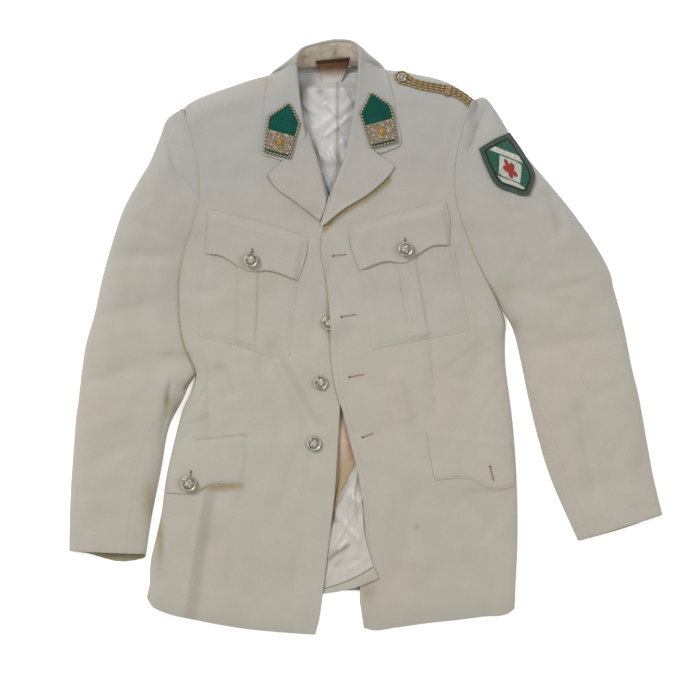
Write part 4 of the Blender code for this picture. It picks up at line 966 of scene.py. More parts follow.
class Paint:
    """Material built step by step; a colour is three display values, or else an output."""

    def __init__(self, name, roughness, metallic=0.0, sheen=0.0, specular=0.5):
        self.material = bpy.data.materials.new(name)
        self.material.use_nodes = True
        self.links = self.material.node_tree.links
        self.shader = self.material.node_tree.nodes["Principled BSDF"]
        self.fill(self.shader, {
            "Roughness": roughness, "Metallic": metallic, "Sheen Weight": sheen,
            "Specular IOR Level": specular,
        })
        self.place = self.node("TexCoord").outputs["Object"]
        self.height = self.tone = None

    def node(self, kind, inputs=None, **settings):
        """New node with its settings and its inputs."""
        made = self.material.node_tree.nodes.new("ShaderNode" + kind)
        for key, value in settings.items():
            setattr(made, key, value)
        return self.fill(made, inputs or {})

    def fill(self, node, inputs):
        """Inputs of a node: outputs are linked, display colours made linear, the rest set."""
        for key, value in inputs.items():
            if isinstance(value, bpy.types.NodeSocket):
                self.links.new(value, node.inputs[key])
            else:
                is_display = key in COLOUR_INPUTS and len(value) == 3
                node.inputs[key].default_value = srgb(*value) if is_display else value
        return node

    def stretched(self, *scale):
        """Object coordinates scaled along each axis."""
        return self.node("Mapping", {"Scale": scale, "Vector": self.place}).outputs["Vector"]

    def up(self):
        """Distance from the middle toward the collar."""
        return self.node("SeparateXYZ", {0: self.place}).outputs["Y"]

    def noise(self, scale, detail=2.0, place=None):
        """Noise value."""
        return self.node("TexNoise", {
            "Scale": scale, "Detail": detail, "Vector": place or self.place,
        }).outputs["Fac"]

    def wave(self, pitch, direction="DIAGONAL", distortion=0.4, place=None):
        """Bands at a pitch in metres."""
        return self.node("TexWave", {
            "Scale": 2 * math.pi / (20 * pitch), "Distortion": distortion, "Detail Scale": 2.0,
            "Vector": place or self.place,
        }, bands_direction=direction).outputs["Fac"]

    def ranged(self, value, low, high, to_low=0.0, to_high=1.0):
        """Value remapped and clamped."""
        return self.node("MapRange", {
            "From Min": low, "From Max": high, "To Min": to_low, "To Max": to_high, "Value": value,
        }).outputs["Result"]

    def spots(self, scale, detail, low, high, to_low=0.0, to_high=1.0, place=None):
        """Patches of noise between two levels."""
        return self.ranged(self.noise(scale, detail, place), low, high, to_low, to_high)

    def mark(self, name):
        """Value painted on the mesh."""
        return self.node("Attribute", attribute_name=name).outputs["Fac"]

    def mix(self, share, first, second, way="MIX"):
        """Two colours mixed."""
        inputs = {"Factor": share, 6: first, 7: second}
        return self.node("Mix", inputs, data_type="RGBA", blend_type=way).outputs[2]

    def over(self, share, colour, strength=None, way="MIX"):
        """Colour laid over what is there, by a value painted on the mesh, by spots or by an output."""
        if isinstance(share, str):
            share = self.mark(share)
        elif isinstance(share, tuple):
            share = self.spots(*share)
        if strength is not None:
            share = self.times(share, strength)
        self.tone = self.mix(share, self.tone, colour, way)

    def times(self, first, second):
        """Product of two values."""
        return self.node("Math", {0: first, 1: second}, operation="MULTIPLY").outputs[0]

    def shade(self, value):
        """Grey colour from a value."""
        return self.node("CombineColor", {0: value, 1: value, 2: value}).outputs[0]

    def done(self, *bumps):
        """Material with its colour and relief; each bump is its kind, its values, distance and strength."""
        self.fill(self.shader, {"Base Color": self.tone})
        for kind, values, distance, strength in bumps:
            value = getattr(self, kind)(*values) if isinstance(kind, str) else kind
            inputs = {"Distance": distance, "Strength": strength, "Height": value}
            if self.height is not None:
                inputs["Normal"] = self.height
            self.height = self.node("Bump", inputs).outputs["Normal"]
            self.fill(self.shader, {"Normal": self.height})
        return self.material


def layered(name, looks, base, layers, *bumps):
    """Material of a base colour, the layers over it and its relief."""
    paint = Paint(name, **looks)
    paint.tone = base
    for layer in layers:
        paint.over(*layer)
    return paint.done(*bumps)

COLOUR_INPUTS = (6, 7, "Base Color")
COOL = (0.87, 0.90, 0.98, 1.0)


def gabardine():
    """Cream twill with slow changes of tone, cooler toward the collar, yellowing with painted shadows, and
    painted shade along a fold.
    """
    paint = Paint("cream_gabardine", 0.88, sheen=0.06, specular=0.2)
    paint.tone = (170, 166, 154)
    paint.over((6.0, 3.0, 0.36, 0.64), (172, 164, 151))
    paint.over((38.0, 3.0, 0.3, 0.7), (179, 175, 164), 0.3)
    paint.over(paint.ranged(paint.up(), -0.02, 0.26), COOL, way="MULTIPLY")
    paint.over(1.0, paint.shade(paint.spots(900.0, 2.0, 0.35, 0.65, 0.95, 1.03)), way="MULTIPLY")
    # Yellowing, and painted yellow-brown shadows, from the stain value
    paint.over("stain_and_shade", (134, 120, 78), paint.spots(55.0, 4.0, 0.25, 0.75, 0.6, 1.2))
    # Painted shade along the right skirt's pressed fold
    paint.over("shade_seam_and_dirt", (92, 78, 58))
    return paint.done(
        ("wave", (0.0011, "DIAGONAL", 0.6), 0.00006, 1.0), ("noise", (1300.0,), 0.00005, 1.0),
        ("noise", (60.0, 3.0), 0.0004, 0.3),
    )


def satin():
    """Smooth lining with fine cross threads, pinkish-brown where it is the front's facing: its stained cloth
    with painted shade of the deep opening.
    """
    paint = Paint("white_satin_lining", 0.4, sheen=0.1)
    paint.tone = (196, 195, 193)
    paint.over((16.0, 3.0, 0.35, 0.65), (184, 183, 180))
    # The facing's pinkish-brown is partly its stained cloth and partly painted shade of the deep skirt
    # opening
    paint.over("facing", paint.mix(paint.spots(34.0, 4.0, 0.35, 0.65), (196, 170, 148), (178, 150, 122)))
    paint.over("stain_and_shade", (150, 132, 84))
    # Painted shade beside the centre pleat and in the skirt's folds, with the facing seam, dirt and darker
    # marks toward the neck
    paint.over("shade_seam_and_dirt", (84, 70, 52))
    return paint.done(
        ("wave", (0.0006, "X", 0.2), 0.00003, 1.0), ("noise", (48.0, 5.0), 0.0012, 0.6),
        ("noise", (150.0, 3.0), 0.0008, 0.6),
    )


def stand_cloth():
    """Yellowed cloth of the collar stand, browner in streaks."""
    paint = Paint("stained_stand_cloth", 0.9, sheen=0.1, specular=0.2)
    paint.tone = (206, 196, 180)
    paint.over(paint.spots(30.0, 5.0, 0.35, 0.68, place=paint.stretched(3.0, 1.0, 1.0)), (182, 164, 138))
    paint.over((90.0, 4.0, 0.52, 0.7), (112, 90, 60), 0.45)
    paint.over("stain_and_shade", (120, 98, 62))
    paint.over("shade_seam_and_dirt", (82, 66, 46))
    return paint.done(
        ("wave", (0.0011, "DIAGONAL", 0.5), 0.00008, 1.0), ("noise", (160.0, 3.0), 0.0005, 0.4),
    )


def lace():
    """Silver lace with a woven zigzag relief."""
    paint = Paint("silver_lace", 0.5, metallic=0.2, sheen=0.05)
    threads = paint.wave(0.0013, "DIAGONAL", 1.2)
    both = paint.times(threads, paint.wave(0.0016, "DIAGONAL", 1.2, paint.stretched(-1, 1, 1)))
    paint.tone = (90, 74, 52)
    paint.over(paint.ranged(both, 0.05, 0.6), (160, 145, 116))
    paint.over((300.0, 3.0, 0.5, 0.66), (170, 160, 138))
    paint.over("shade_seam_and_dirt", (84, 70, 50))
    return paint.done((both, (), 0.0005, 0.8))


def twisted(name, light, dark, second, metallic=0.3):
    """Twisted cord: the ply value painted on the mesh makes the strands' crowns lighter and the grooves
    between them darker, as painted shade.
    """
    paint = Paint(name, 0.5, metallic=metallic)
    paint.tone = dark
    # Painted shade: light on the crowns of the plies, dark in the grooves between them
    paint.over(paint.ranged(paint.mark("ply"), 0.25, 0.75), light)
    paint.over("strand", second)
    paint.over((700.0, 3.0, 0.35, 0.65), dark, 0.35)
    return paint.done(("noise", (1800.0,), 0.0001, 0.6))


def gilt(name, light, dark, roughness, metallic):
    """Worn metal, dull in the hollows."""
    layers = [((260.0, 4.0, 0.38, 0.66), dark), ("hollow", (92, 84, 66))]
    looks = {"roughness": roughness, "metallic": metallic}
    return layered(name, looks, light, layers, ("noise", (900.0, 3.0), 0.00012, 0.7))


def thread(name, base, deep):
    """Sewing thread."""
    looks = {"roughness": 0.75, "sheen": 0.1, "specular": 0.3}
    layers = [((300.0, 3.0, 0.35, 0.65), deep)]
    return layered(name, looks, base, layers, ("wave", (0.0004, "DIAGONAL", 0.3), 0.00005, 1.0))


def embroidered():
    """Green ground with white and red stitched shapes and a dark line."""
    paint = Paint("embroidered_badge", 0.7, sheen=0.1, specular=0.3)
    speck = paint.spots(320.0, 3.0, 0.35, 0.65)
    paint.tone = paint.mix(speck, (34, 92, 74), (22, 72, 58))
    paint.over("white", paint.mix(speck, (196, 196, 186), (166, 166, 154)))
    paint.over("red", (146, 46, 38))
    paint.over("line", (26, 28, 26))
    paint.over("border", paint.mix(speck, (72, 84, 74), (48, 58, 50)))
    return paint.done(("wave", (0.0006, "X", 0.4), 0.00018, 1.0))

CREAM = gabardine()
SATIN = satin()
STAINED = stand_cloth()
GREEN = layered(
    "green_felt", {"roughness": 0.95, "sheen": 0.15, "specular": 0.15}, (10, 78, 64),
    [((260.0, 4.0, 0.3, 0.7), (8, 62, 52)), ((30.0, 2.0, 0.4, 0.7), (8, 62, 52))],
    ("noise", (1500.0, 3.0), 0.00015, 0.6),
)
LACE = lace()
CORD = twisted("gold_cord", (158, 130, 82), (84, 62, 34), (178, 160, 122))
PIPING = twisted("twisted_edging", (186, 170, 134), (84, 64, 44), (12, 56, 44))
MERROW = twisted("merrowed_edge", (70, 82, 72), (28, 38, 32), (54, 66, 56), 0.0)
HOLE_CORD = twisted("buttonhole_cord", (162, 136, 106), (110, 84, 60), (146, 120, 92), 0.0)
GILT = gilt("aged_silver_gilt", (206, 202, 190), (140, 132, 112), 0.36, 0.6)
GOLD = gilt("gold_star", (206, 160, 84), (150, 106, 44), 0.34, 0.7)
BADGE = embroidered()
LABEL = layered(
    "brown_label", {"roughness": 0.75, "sheen": 0.05, "specular": 0.2}, (118, 84, 60),
    [((70.0, 4.0, 0.35, 0.65), (94, 64, 44)), ("pale", (188, 182, 174)), ("shade_seam_and_dirt", (56, 34, 22))],
    ("wave", (0.0007, "Y", 0.2), 0.00008, 1.0),
)
EYE_CORD = twisted("buttonhole_eye", (112, 88, 66), (76, 56, 40), (98, 76, 56), 0.0)
HOLE_THREAD = thread("hem_thread", (96, 80, 60), (78, 64, 48))
THREAD = thread("cream_thread", (168, 163, 150), (156, 150, 134))

# Finer creases of each panel
CREASES_RIGHT = listed(
    Fold,
    (-116, -25, -76, -104, 8, -1.7), (-104, -30, -64, -96, 8, 1.3), (-135, -44, -112, -112, 5, -0.7),
    (-160, -40, -142, -92, 7, -0.6), (-188, -43, -178, -74, 5, -0.8), (-220, -53, -211, -72, 4, -0.9),
    (-211, -72, -225, -96, 4, -0.8), (-90, -150, -104, -205, 9, -0.6), (-132, -210, -120, -300, 11, 0.7),
    (-168, -225, -176, -310, 9, -0.6), (-80, -240, -92, -330, 10, -0.7), (-62, 60, -70, -10, 7, -0.6),
    (-52, 100, -75, 40, 8, 0.6), (-98, 188, -72, 150, 8, -0.7), (-160, 215, -120, 185, 10, -0.6),
    (-200, 232, -150, 250, 12, 0.7), (-188, 285, -128, 300, 9, -0.7), (-230, 178, -212, 120, 7, -1.0),
    (-222, 250, -206, 208, 8, -0.8), (-256, -150, -232, -128, 5, -0.6), (-60, -118, -72, -170, 6, -0.5),
)
CREASES_LEFT = listed(
    Fold,
    (168, -10, 91, -59, 15, 1.1), (150, -8, 104, -42, 6, -0.4), (156, -22, 134, -55, 10, -0.3),
    (172, -38, 128, -88, 11, -0.4), (40, -55, 53, -101, 6, 1.3), (28, -60, 38, -110, 5, -0.6),
    (129, -212, 161, -245, 7, -0.6), (112, -230, 150, -290, 9, 0.7), (64, -215, 44, -300, 10, -0.7),
    (30, -200, 18, -290, 9, 0.6), (158, -250, 168, -330, 8, -0.7), (92, -260, 84, -345, 10, -0.5),
    (-36, 60, -20, 10, 7, -0.6), (-30, 118, -12, 60, 7, 0.5), (20, 178, -20, 120, 8, -0.6),
    (60, 226, 96, 196, 11, -0.7), (70, 272, 118, 240, 10, 0.8), (40, 300, 96, 286, 9, -0.8),
    (128, 210, 112, 140, 7, -0.9), (118, 262, 110, 222, 8, -0.7), (138, 44, 168, 14, 6, -0.8),
    (10, -130, 26, -178, 8, -0.5), (-22, -80, -6, -150, 6, -0.5), (176, -60, 150, -100, 6, -0.5),
)
CREASES_SLEEVE_RIGHT = listed(
    Fold,
    (-254, -66, -262, -122, 2.8, -2.4), (-290, 205, -284, 180, 4, -0.9), (-246, 262, -230, 205, 5, 0.9),
    (-350, 106, -262, 104, 6, -0.9), (-330, 88, -268, 92, 7, 0.7), (-300, 150, -258, 128, 7, -0.7),
    (-340, 30, -280, 42, 7, -0.8), (-352, -4, -300, 10, 8, 0.6), (-362, -60, -300, -40, 8, -0.7),
    (-280, -20, -262, -78, 8, -0.7), (-368, -120, -320, -105, 9, 0.6), (-350, -160, -302, -140, 8, -0.7),
    (-372, -205, -320, -196, 9, -0.5), (-345, -225, -338, -270, 8, -0.5), (-290, 96, -300, 40, 9, 0.6),
)
CREASES_SLEEVE_LEFT = listed(
    Fold,
    (156, 294, 145, 270, 4, -1.1), (145, 270, 136, 245, 4, -1.0), (172, 201, 194, 164, 5, -1.0),
    (239, 182, 250, 138, 4, -1.6), (252, 190, 262, 146, 6, 0.8), (236, 70, 292, 84, 9, 0.7),
    (257, 77, 280, 84, 13, -2.0), (250, 62, 290, 74, 6, -0.6), (280, -102, 297, -188, 6, -1.0),
    (294, -96, 310, -170, 7, 0.8), (205, -20, 300, 0, 8, -0.7), (196, 60, 250, 44, 7, -0.7),
    (220, 100, 252, 60, 8, 0.6), (330, -60, 300, -74, 7, -0.7), (340, -120, 320, -160, 7, -0.6),
    (262, -130, 282, -214, 8, 0.6), (180, 130, 206, 96, 7, -0.7),
)
# Dart and panel seams run as narrow ditches
DARTS_RIGHT = [Fold(-205.5, -40, -205.5, -122, 1.6, -0.35)]
DARTS_LEFT = [Fold(83, -10, 88.4, -86, 1.6, -0.35)]

# Creases fade out this near the edges of a front and of a sleeve
DETAIL_FADE = 13.0
SLEEVE_FADE = 16
# Long fold pressed into the right skirt, and the one in the right sleeve's head
SKIRT_LAP = np.array([(-238.0, -370.0), (-233.0, -342.0), (-222.0, -264.0), (-211.0, -206.0)])
LAP_WIDE = 17.0
LAP_DEEP = 1.6
# Dip of the armhole seam, and how much deeper the creases are low on the fronts and on the sleeves
HEAD_FOLD = curve([(-262, 272), (-255, 243), (-244.4, 214.5), (-229, 193.7), (-219, 180)], 60)
HEAD_DEEP = 1.5
HEAD_WIDE = 2.2
SEAM_DIP = 0.7
DIP_WIDE = 5
LOWER_DEPTH = 0.7
SLEEVE_DEPTH = 1.4


def front_detail(side, x, y):
    """Creases, slow unevenness and dart seams of a front, fading at its edges."""
    creases, darts = (CREASES_RIGHT, DARTS_RIGHT) if side.sign > 0 else (CREASES_LEFT, DARTS_LEFT)
    by_side, by_top, by_hem = (smooth(far / DETAIL_FADE) for far in from_edges(side, x, y))
    fade = by_side * by_top * by_hem
    deeper = 1 + LOWER_DEPTH * smooth((20 - y) / 60)
    detail = waved(x, y) + deeper * folded(x, y, creases) + folded(x, y, darts)
    if side.sign > 0:
        off = x - np.interp(y, SKIRT_LAP[:, 1], SKIRT_LAP[:, 0])
        pressed = step(off, -3.5, 3.5) * (1 - smooth(off / LAP_WIDE))
        detail = detail + LAP_DEEP * pressed * smooth((-200 - y) / 22)
    return detail * fade


def front_height(side, x, y):
    """Height of the outer face of a front with its fine creases."""
    return plain_front(side, x, y) + front_detail(side, x, y)


def sleeve_height(side, x, y, from_outer, width, loft, low):
    """Height of a sleeve's upper face with its fine creases."""
    creases = CREASES_SLEEVE_RIGHT if side.sign > 0 else CREASES_SLEEVE_LEFT
    fade = smooth(from_outer / SLEEVE_FADE) * smooth((width - from_outer) / SLEEVE_FADE)
    fine = (SLEEVE_DEPTH * folded(x, y, creases) + waved(x + 31, y - 17)) * fade
    if side.sign > 0:
        fine = fine - HEAD_DEEP * bell(away_from(HEAD_FOLD, x, y) / HEAD_WIDE)
    joined = np.clip((low - FLOOR_ROUND - 1) / 2, 0, 1)
    dip = SEAM_DIP * joined * (1 - smooth((width - from_outer) / DIP_WIDE))
    return plain_sleeve(side, x, y, from_outer, width, loft, low) + fine - dip


def spread(grid):
    """Flat width, length and area of a grid, in metres."""
    over = np.linalg.norm(np.diff(grid, axis=1), axis=2).sum(axis=1).max() * MM
    down = np.linalg.norm(np.diff(grid, axis=0), axis=2).sum(axis=0).max() * MM
    a, b = grid[1:, 1:] - grid[:-1, :-1], grid[1:, :-1] - grid[:-1, 1:]
    area = 0.5 * np.linalg.norm(np.cross(a, b), axis=2).sum() * MM * MM
    return float(over), float(down), float(area)


def dress(name, grid, thickness, finish, node, marks=None, facing=None):
    """Cloth piece on an outer grid, with what it stands for and its finish."""
    marks = cloth_marks(grid) if marks is None else marks
    piece = shell(name, grid, thickness, finish, marks, facing)
    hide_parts(node)


# Rows and columns of the pieces' grids; fronts, back and sleeves take their rows from their edges
BACK_COLUMNS = 40
FRONT_COLUMNS = 84
FRONT_PULL = 0.3
LINING_GRID = (240, 80)
SLEEVE_ROWS = 104
SLEEVE_PARTS = (("upper", True, 74), ("under", False, 50))
POCKET_GRID = (76, 64)
FLAP_GRID = (52, 76)
LAPEL_GRID = (64, 52)
LAPEL_PULL = 0.6
COLLAR_GRID = (210, 40)
STAND_GRID = (90, 30)
LABEL_GRID = (44, 40)
PATCH_GRID = (84, 52)
BAR_GRID = (48, 64)
BADGE_GRID = (110, 100)
BADGE_COARSE = (12, 11)
SKIRT_GRID = (110, 60)
HEM_GRID = (18, 80)

# Back
back_plan = patch(
    inset(BACK_EDGE_RIGHT, BACK_INSET), inset(BACK_EDGE_LEFT, -BACK_INSET), curve(BACK_HEM),
    np.vstack([curve(SHOULDER_RIGHT), curve(NECK_SEAM)[1:-1], curve(SHOULDER_LEFT)[::-1]]),
    unit(BACK_COLUMNS),
)
dress("cloth_back", lift(back_plan, THIN), THIN, CREAM, "back")

# Lining of the back
LINING_FOLDS = listed(
    Fold,
    (-83, 302, -66, 290, 3, 1.7), (-80, 292, -70, 276, 3, -1.0), (-60, 235, -30, 228, 7, 1.6),
    (-70, 262, -52, 240, 5, -0.9), (-30, 250, -18, 222, 5, 1.6), (-56, 200, -40, 178, 8, 1.2),
    (-22, -258, -50, -306, 5, 1.8), (-48, -282, -24, -266, 4, 1.2), (-26, 282, -50, 262, 2.6, 1.2),
    (-36, -240, -16, -252, 5, 1.2), (-30, -225, -46, -250, 4, -0.8), (-74, 318, -60, 300, 3, 1.0),
    (-66, 322, -52, 312, 2.4, 1.2), (-50, 300, -34, 286, 2.6, 1.3), (-36, 272, -22, 262, 2.6, 1.2),
    (-64, 248, -50, 226, 3, 1.3), (-44, 240, -30, 212, 3.4, 1.2), (-58, 214, -46, 196, 3, 1.2),
    (-30, 322, -20, 304, 2.4, 1.0), (-84, 330, -72, 322, 2.4, 1.0),
)
# The facing's seam inside the skirt opening, from its foot upward
FACING_SEAM = np.array([(-43.7, -241.8), (-34.3, -205.0), (-13.0, -162.5), (-4.0, -150.0)])
# Dark marks inside the skirt opening: dirt spots and painted shade of its folds
SKIRT_DIRT_AND_FOLD_SHADE = listed(
    Fold,
    (-42.5, -229, -40, -240, 3.0, 0.5), (-48, -288, -26, -272, 2.6, 0.5), (-50, -282, -38, -276, 3.4, 0.35),
    (-24, -190, -34, -214, 2.0, 0.35), (-14, -200, -12, -232, 1.2, 0.3),
)
# The lining lies higher over the chest: its middle, and where it starts to fall at the sides,
# rises from below and ends at the neck; and a little in the skirt opening
LINING_FULL = 12.5
CHEST_MIDDLE = -45
CHEST_SIDES = (34, 20)
CHEST_FOOT = (120, 40)
CHEST_HEAD = (320, 14)
LINING_LOW = 5.5
LOW_SPOT = Spot(-31, -125, 13, 42, 1.0)


def fine_lining(x, y):
    """Lining height with its small soft folds."""
    small = np.maximum(folded(x, y, LINING_FOLDS) + 0.5 * waved(x * 1.8, y * 1.8), -0.2)
    full = (1 - step(np.abs(x - CHEST_MIDDLE), *CHEST_SIDES)) * step(y, *CHEST_FOOT)
    full = full * (1 - step(y, *CHEST_HEAD))
    low = np.exp(-((x - LOW_SPOT.x) / LOW_SPOT.wide) ** 2 - ((y - LOW_SPOT.y) / LOW_SPOT.high) ** 2)
    return lining_height(x, y) + small * (1 + 0.8 * full) + LINING_FULL * full + LINING_LOW * low


def lining_marks(grid):
    """Facing, its seam, dirt and painted fold shade inside the opening, painted shade beside the centre
    pleat, and darker marks toward the neck.
    """
    x, y = places(grid)
    seam_x = np.interp(y, FACING_SEAM[:, 1], FACING_SEAM[:, 0])
    below = step(y, -250, 8) * (1 - step(y, -60, 20))
    facing = smooth((seam_x - x) / 2 + 0.5) * below
    shade_seam_and_dirt = 0.4 * bell((x - seam_x) / 1.3) * below * (y < -150)
    shade_seam_and_dirt = shade_seam_and_dirt + 0.9 * np.exp(-((x + 59) / 4.0) ** 2 - ((y - 318) / 1.3) ** 2)
    # Painted shade line on the shaded side of the centre pleat
    shade_seam_and_dirt = shade_seam_and_dirt + 0.35 * bell((x - CENTRE_PLEAT.x0 - 4) / 1.6) * step(y, 190, 40)
    shade_seam_and_dirt = shade_seam_and_dirt + folded(x, y, SKIRT_DIRT_AND_FOLD_SHADE) + step(y, 130, 30) * (0.15 + 0.05 * waved(x * 3, y * 3))
    yellow = 0.5 * facing * smooth((-150 - y) / 40) + 0.24 * smooth((-150 - y) / 20)
    return {"stain_and_shade": yellow, "shade_seam_and_dirt": np.clip(shade_seam_and_dirt, 0, 1), "facing": facing}


plan = quad((-112, -285), (34, -285), (-110, 343), (20, 343), *LINING_GRID)
grid = lift(plan, fine_lining(*places(plan)))
dress("cloth_back_lining", grid, LINING, SATIN, "lining_back", lining_marks(grid))

# Painted shade in the crevice along the armhole and side seams, with the seams' own darker colour, by height
# on the jacket
SEAM_SHADE_TONE = {
    1: ((-70, 0.8), (-40, 0.6), (10, 0.75), (80, 0.85), (105, 0.4), (190, 0.25), (240, 0.1), (296, 0.3)),
    -1: ((10, 0.7), (30, 0.8), (70, 0.9), (110, 0.6), (150, 0.2), (200, 0.04), (306, 0.04)),
}


def seam_line(side, x, y):
    """Painted shadow line along the seam between a front and its sleeve, with the seam's own darker colour.
    """
    rows = np.array(SEAM_SHADE_TONE[side.sign])
    line = resample(side.outer[side.outer[:, 1] > -70], unit(420))
    tone = np.interp(y, rows[:, 0], rows[:, 1], left=0.0)
    return tone * bell(away_from(line, x, y) / 1.3)


# Shade along the skirt's pressed fold, and under the right lower flap
FOLD_SHADE = 0.13
FLAP_SHADE = Fold(-198, -194.5, -164, -192.5, 5.5, 0.7)
# Fronts; the cloth beside a lapel's free edge gets a painted yellow-brown shadow of the lapel:
# its line, its width and its share
LAPEL_SHADE = {
    "right": ([(-60, 151), (-91, 175), (-120, 198), (-127, 207)], 3.4, 0.5),
    "left": ([(-56.5, 142), (-50, 148), (-34, 162), (6, 187), (26, 204)], 9.5, 0.85),
}
for label, side in SIDES:
    plan = patch(side.outer, side.front, side.hem, side.shoulder, eased(FRONT_COLUMNS, FRONT_PULL))
    x, y = places(plan)
    grid = lift(plan, front_height(side, x, y))
    line, wide, deep = LAPEL_SHADE[label]
    away = away_from(curve(line, 160), x, y)
    # Painted shadow below the lapel's edge, under the right lower flap and along the armhole seam, put into
    # the stain value
    painted_shadow_band = deep * (1 - smooth((away - 0.55 * wide) / (0.45 * wide)))
    if label == "right":
        painted_shadow_band = np.maximum(painted_shadow_band, folded(x, y, [FLAP_SHADE]))
    painted_shadow_band = np.maximum(painted_shadow_band, seam_line(side, x, y))
    off = x - np.interp(y, SKIRT_LAP[:, 1], SKIRT_LAP[:, 0])
    shade = FOLD_SHADE * step(off, -1, 2) * (1 - step(off, 12, 9)) * step(-y, 196, 14)
    below = ["cloth_back"] if label == "right" else ["cloth_back", "cloth_front_right"]
    marks = cloth_marks(grid, painted_shadow_band, shade)
    dress("cloth_front_" + label, grid, CLOTH, CREAM, "front_" + label, marks)

# Sleeves
for label, side in SIDES:
    rows_at = sleeve_rows(side, SLEEVE_ROWS)
    last = len(side.sleeve) - 1
    for part, upper, count in SLEEVE_PARTS:
        rings = sleeve_rings(side, rows_at, upper, count)
        out = normals(rings)
        probe = out[:, count // 2, 2].mean() if upper else -out[:, -3, 2].mean()
        out = out if probe > 0 else -out
        # Painted shade on the under sleeve's low part that shows at the cuff, and the painted seam shade,
        # both put into the stain value
        cuff = np.ones((1, count)) * smooth((rows_at - last + 0.75) / 0.5)[:, None]
        cuff = 0.0 * cuff if upper else 0.8 * cuff * (1 - smooth((rings[..., 2] - 2) / 3))
        cuff = np.maximum(cuff, seam_line(side, *places(rings)))
        name = "sleeve_" + part + "_" + label
        below = ["cloth_sleeve_under_" + label] if upper else ["cloth_back"]
        dress("cloth_" + name, rings, CLOTH, CREAM, name, cloth_marks(rings, cuff), out)


def border_of(plan):
    """Border of a plan grid as one closed line."""
    border = perimeter(*plan.shape[:2])[0]
    line = plan[border[:, 0], border[:, 1]]
    return np.vstack([line, line[:1]])


# Breast pockets, flat at their stitched edges and raised along the box pleat
POCKET_EDGE = 0.25
PLEATS = {
    "right": (Point(-157, -22), Point(-152.5, 100), 12.2),
    "left": (Point(70, -4), Point(51.5, 100), 11.6),
}
POCKET_RISE = 1.0
POCKET_SOFT = 9
PLEAT_SOFT = 2.2
PLEAT_DITCH = 0.4
PLEAT_SHADE = 0.32
POCKET_CLOTH = 0.9
FLAP_CLOTH = 0.9
POCKET_BORDER = {label: border_of(region(*POCKETS[label], 50, 44)) for label in POCKETS}


def pleat_off(label, x, y):
    """Distance from the edge of a pocket's box pleat, negative on the pleat."""
    foot, head, half = PLEATS[label]
    return np.abs(x - foot.x - (head.x - foot.x) * (y - foot.y) / (head.y - foot.y)) - half


def pocket_over(label, x, y, pleated=1.0):
    """Outer face of a pocket over the front beneath."""
    off = pleat_off(label, x, y)
    puff = smooth(away_from(POCKET_BORDER[label], x, y) / POCKET_SOFT)
    raised = PLEAT_RISE * (1 - smooth(off / PLEAT_SOFT)) - PLEAT_DITCH * bell((off - 2.0) / 1.2)
    return POCKET_EDGE + (POCKET_RISE + pleated * raised + (1 - pleated) * PLEAT_RISE) * puff


for label, side in SIDES:
    plan = region(*POCKETS[label], *POCKET_GRID)
    x, y = places(plan)
    above = y - PLEATS[label][0].y
    line = PLEAT_SHADE * bell((pleat_off(label, x, y) - 0.9) / 0.9) * step(above, 20, 12)
    grid = lift(plan, front_height(side, x, y) + pocket_over(label, x, y))
    name, below = "pocket_breast_" + label, ["cloth_front_" + label]
    dress("cloth_pocket_" + label, grid, POCKET_CLOTH, CREAM, name, cloth_marks(grid, line))
    plan = region(*BREAST_FLAPS[label], *FLAP_GRID)
    x, y = places(plan)
    v, u = shares(*FLAP_GRID)
    free = 0.3 * (1 - v) ** 4 * (1 + 0.6 * np.sin(9 * u + side.sign)) + 0.2 * (1 - v) ** 2 * (2 * u - 1) ** 6
    sewn = smooth((1 - v) / 0.12)
    sides = 0.3 + 0.7 * smooth(np.minimum(u, 1 - u) / 0.04)
    over = pocket_over(label, x, y, 0.0) * sewn + (FLAP_CLOTH + 0.1 + free) * (0.12 + 0.88 * sewn) * sides
    # Painted shadow along the flap's free sides and lower edge; a darker line along its sewn top seam
    rim = np.minimum(np.minimum(u, 1 - u) * 125, v * 45)
    line = 0.3 * (1 - step(rim, 0.4, 1.4)) * (v < 0.9)
    line = line + 0.28 * (1 - smooth(((1 - v) * 45 - 0.8) / 1.0))
    dress(
        "cloth_breast_flap_" + label, lift(plan, front_height(side, x, y) + over), FLAP_CLOTH, CREAM,
        "flap_breast_" + label, cloth_marks(plan, line),
    )

# Lower flaps, sewn down along the top and a little lifted below
FLAP_PARTS = {"right": 0.3, "left": 0.2}
for label, side in SIDES:
    plan = region(*LOWER_FLAPS[label], *FLAP_GRID)
    x, y = places(plan)
    v, u = shares(*FLAP_GRID)
    sewn = smooth((1 - v) / 0.14)
    free = FLAP_PARTS[label] * (1 - v) ** 2 * (1 + 0.35 * np.sin(7 * u + 1.1))
    sides = smooth((1 - u) / 0.05) if label == "right" else smooth(v / 0.09)
    if label == "right":
        sides = sides * (1 - step(u, 0.5, 0.15) * (1 - smooth(v / 0.09)))
    over = 0.15 + (FLAP_CLOTH + 0.1 + free) * sewn * (0.15 + 0.85 * sides)
    # Painted shadow along the flap's lifted lower edge
    line = 0.2 * (1 - smooth((v * 60 - 0.4) / 1.2))
    dress(
        "cloth_lower_flap_" + label, lift(plan, front_height(side, x, y) + over), FLAP_CLOTH, CREAM,
        "flap_lower_" + label, cloth_marks(plan, line),
    )

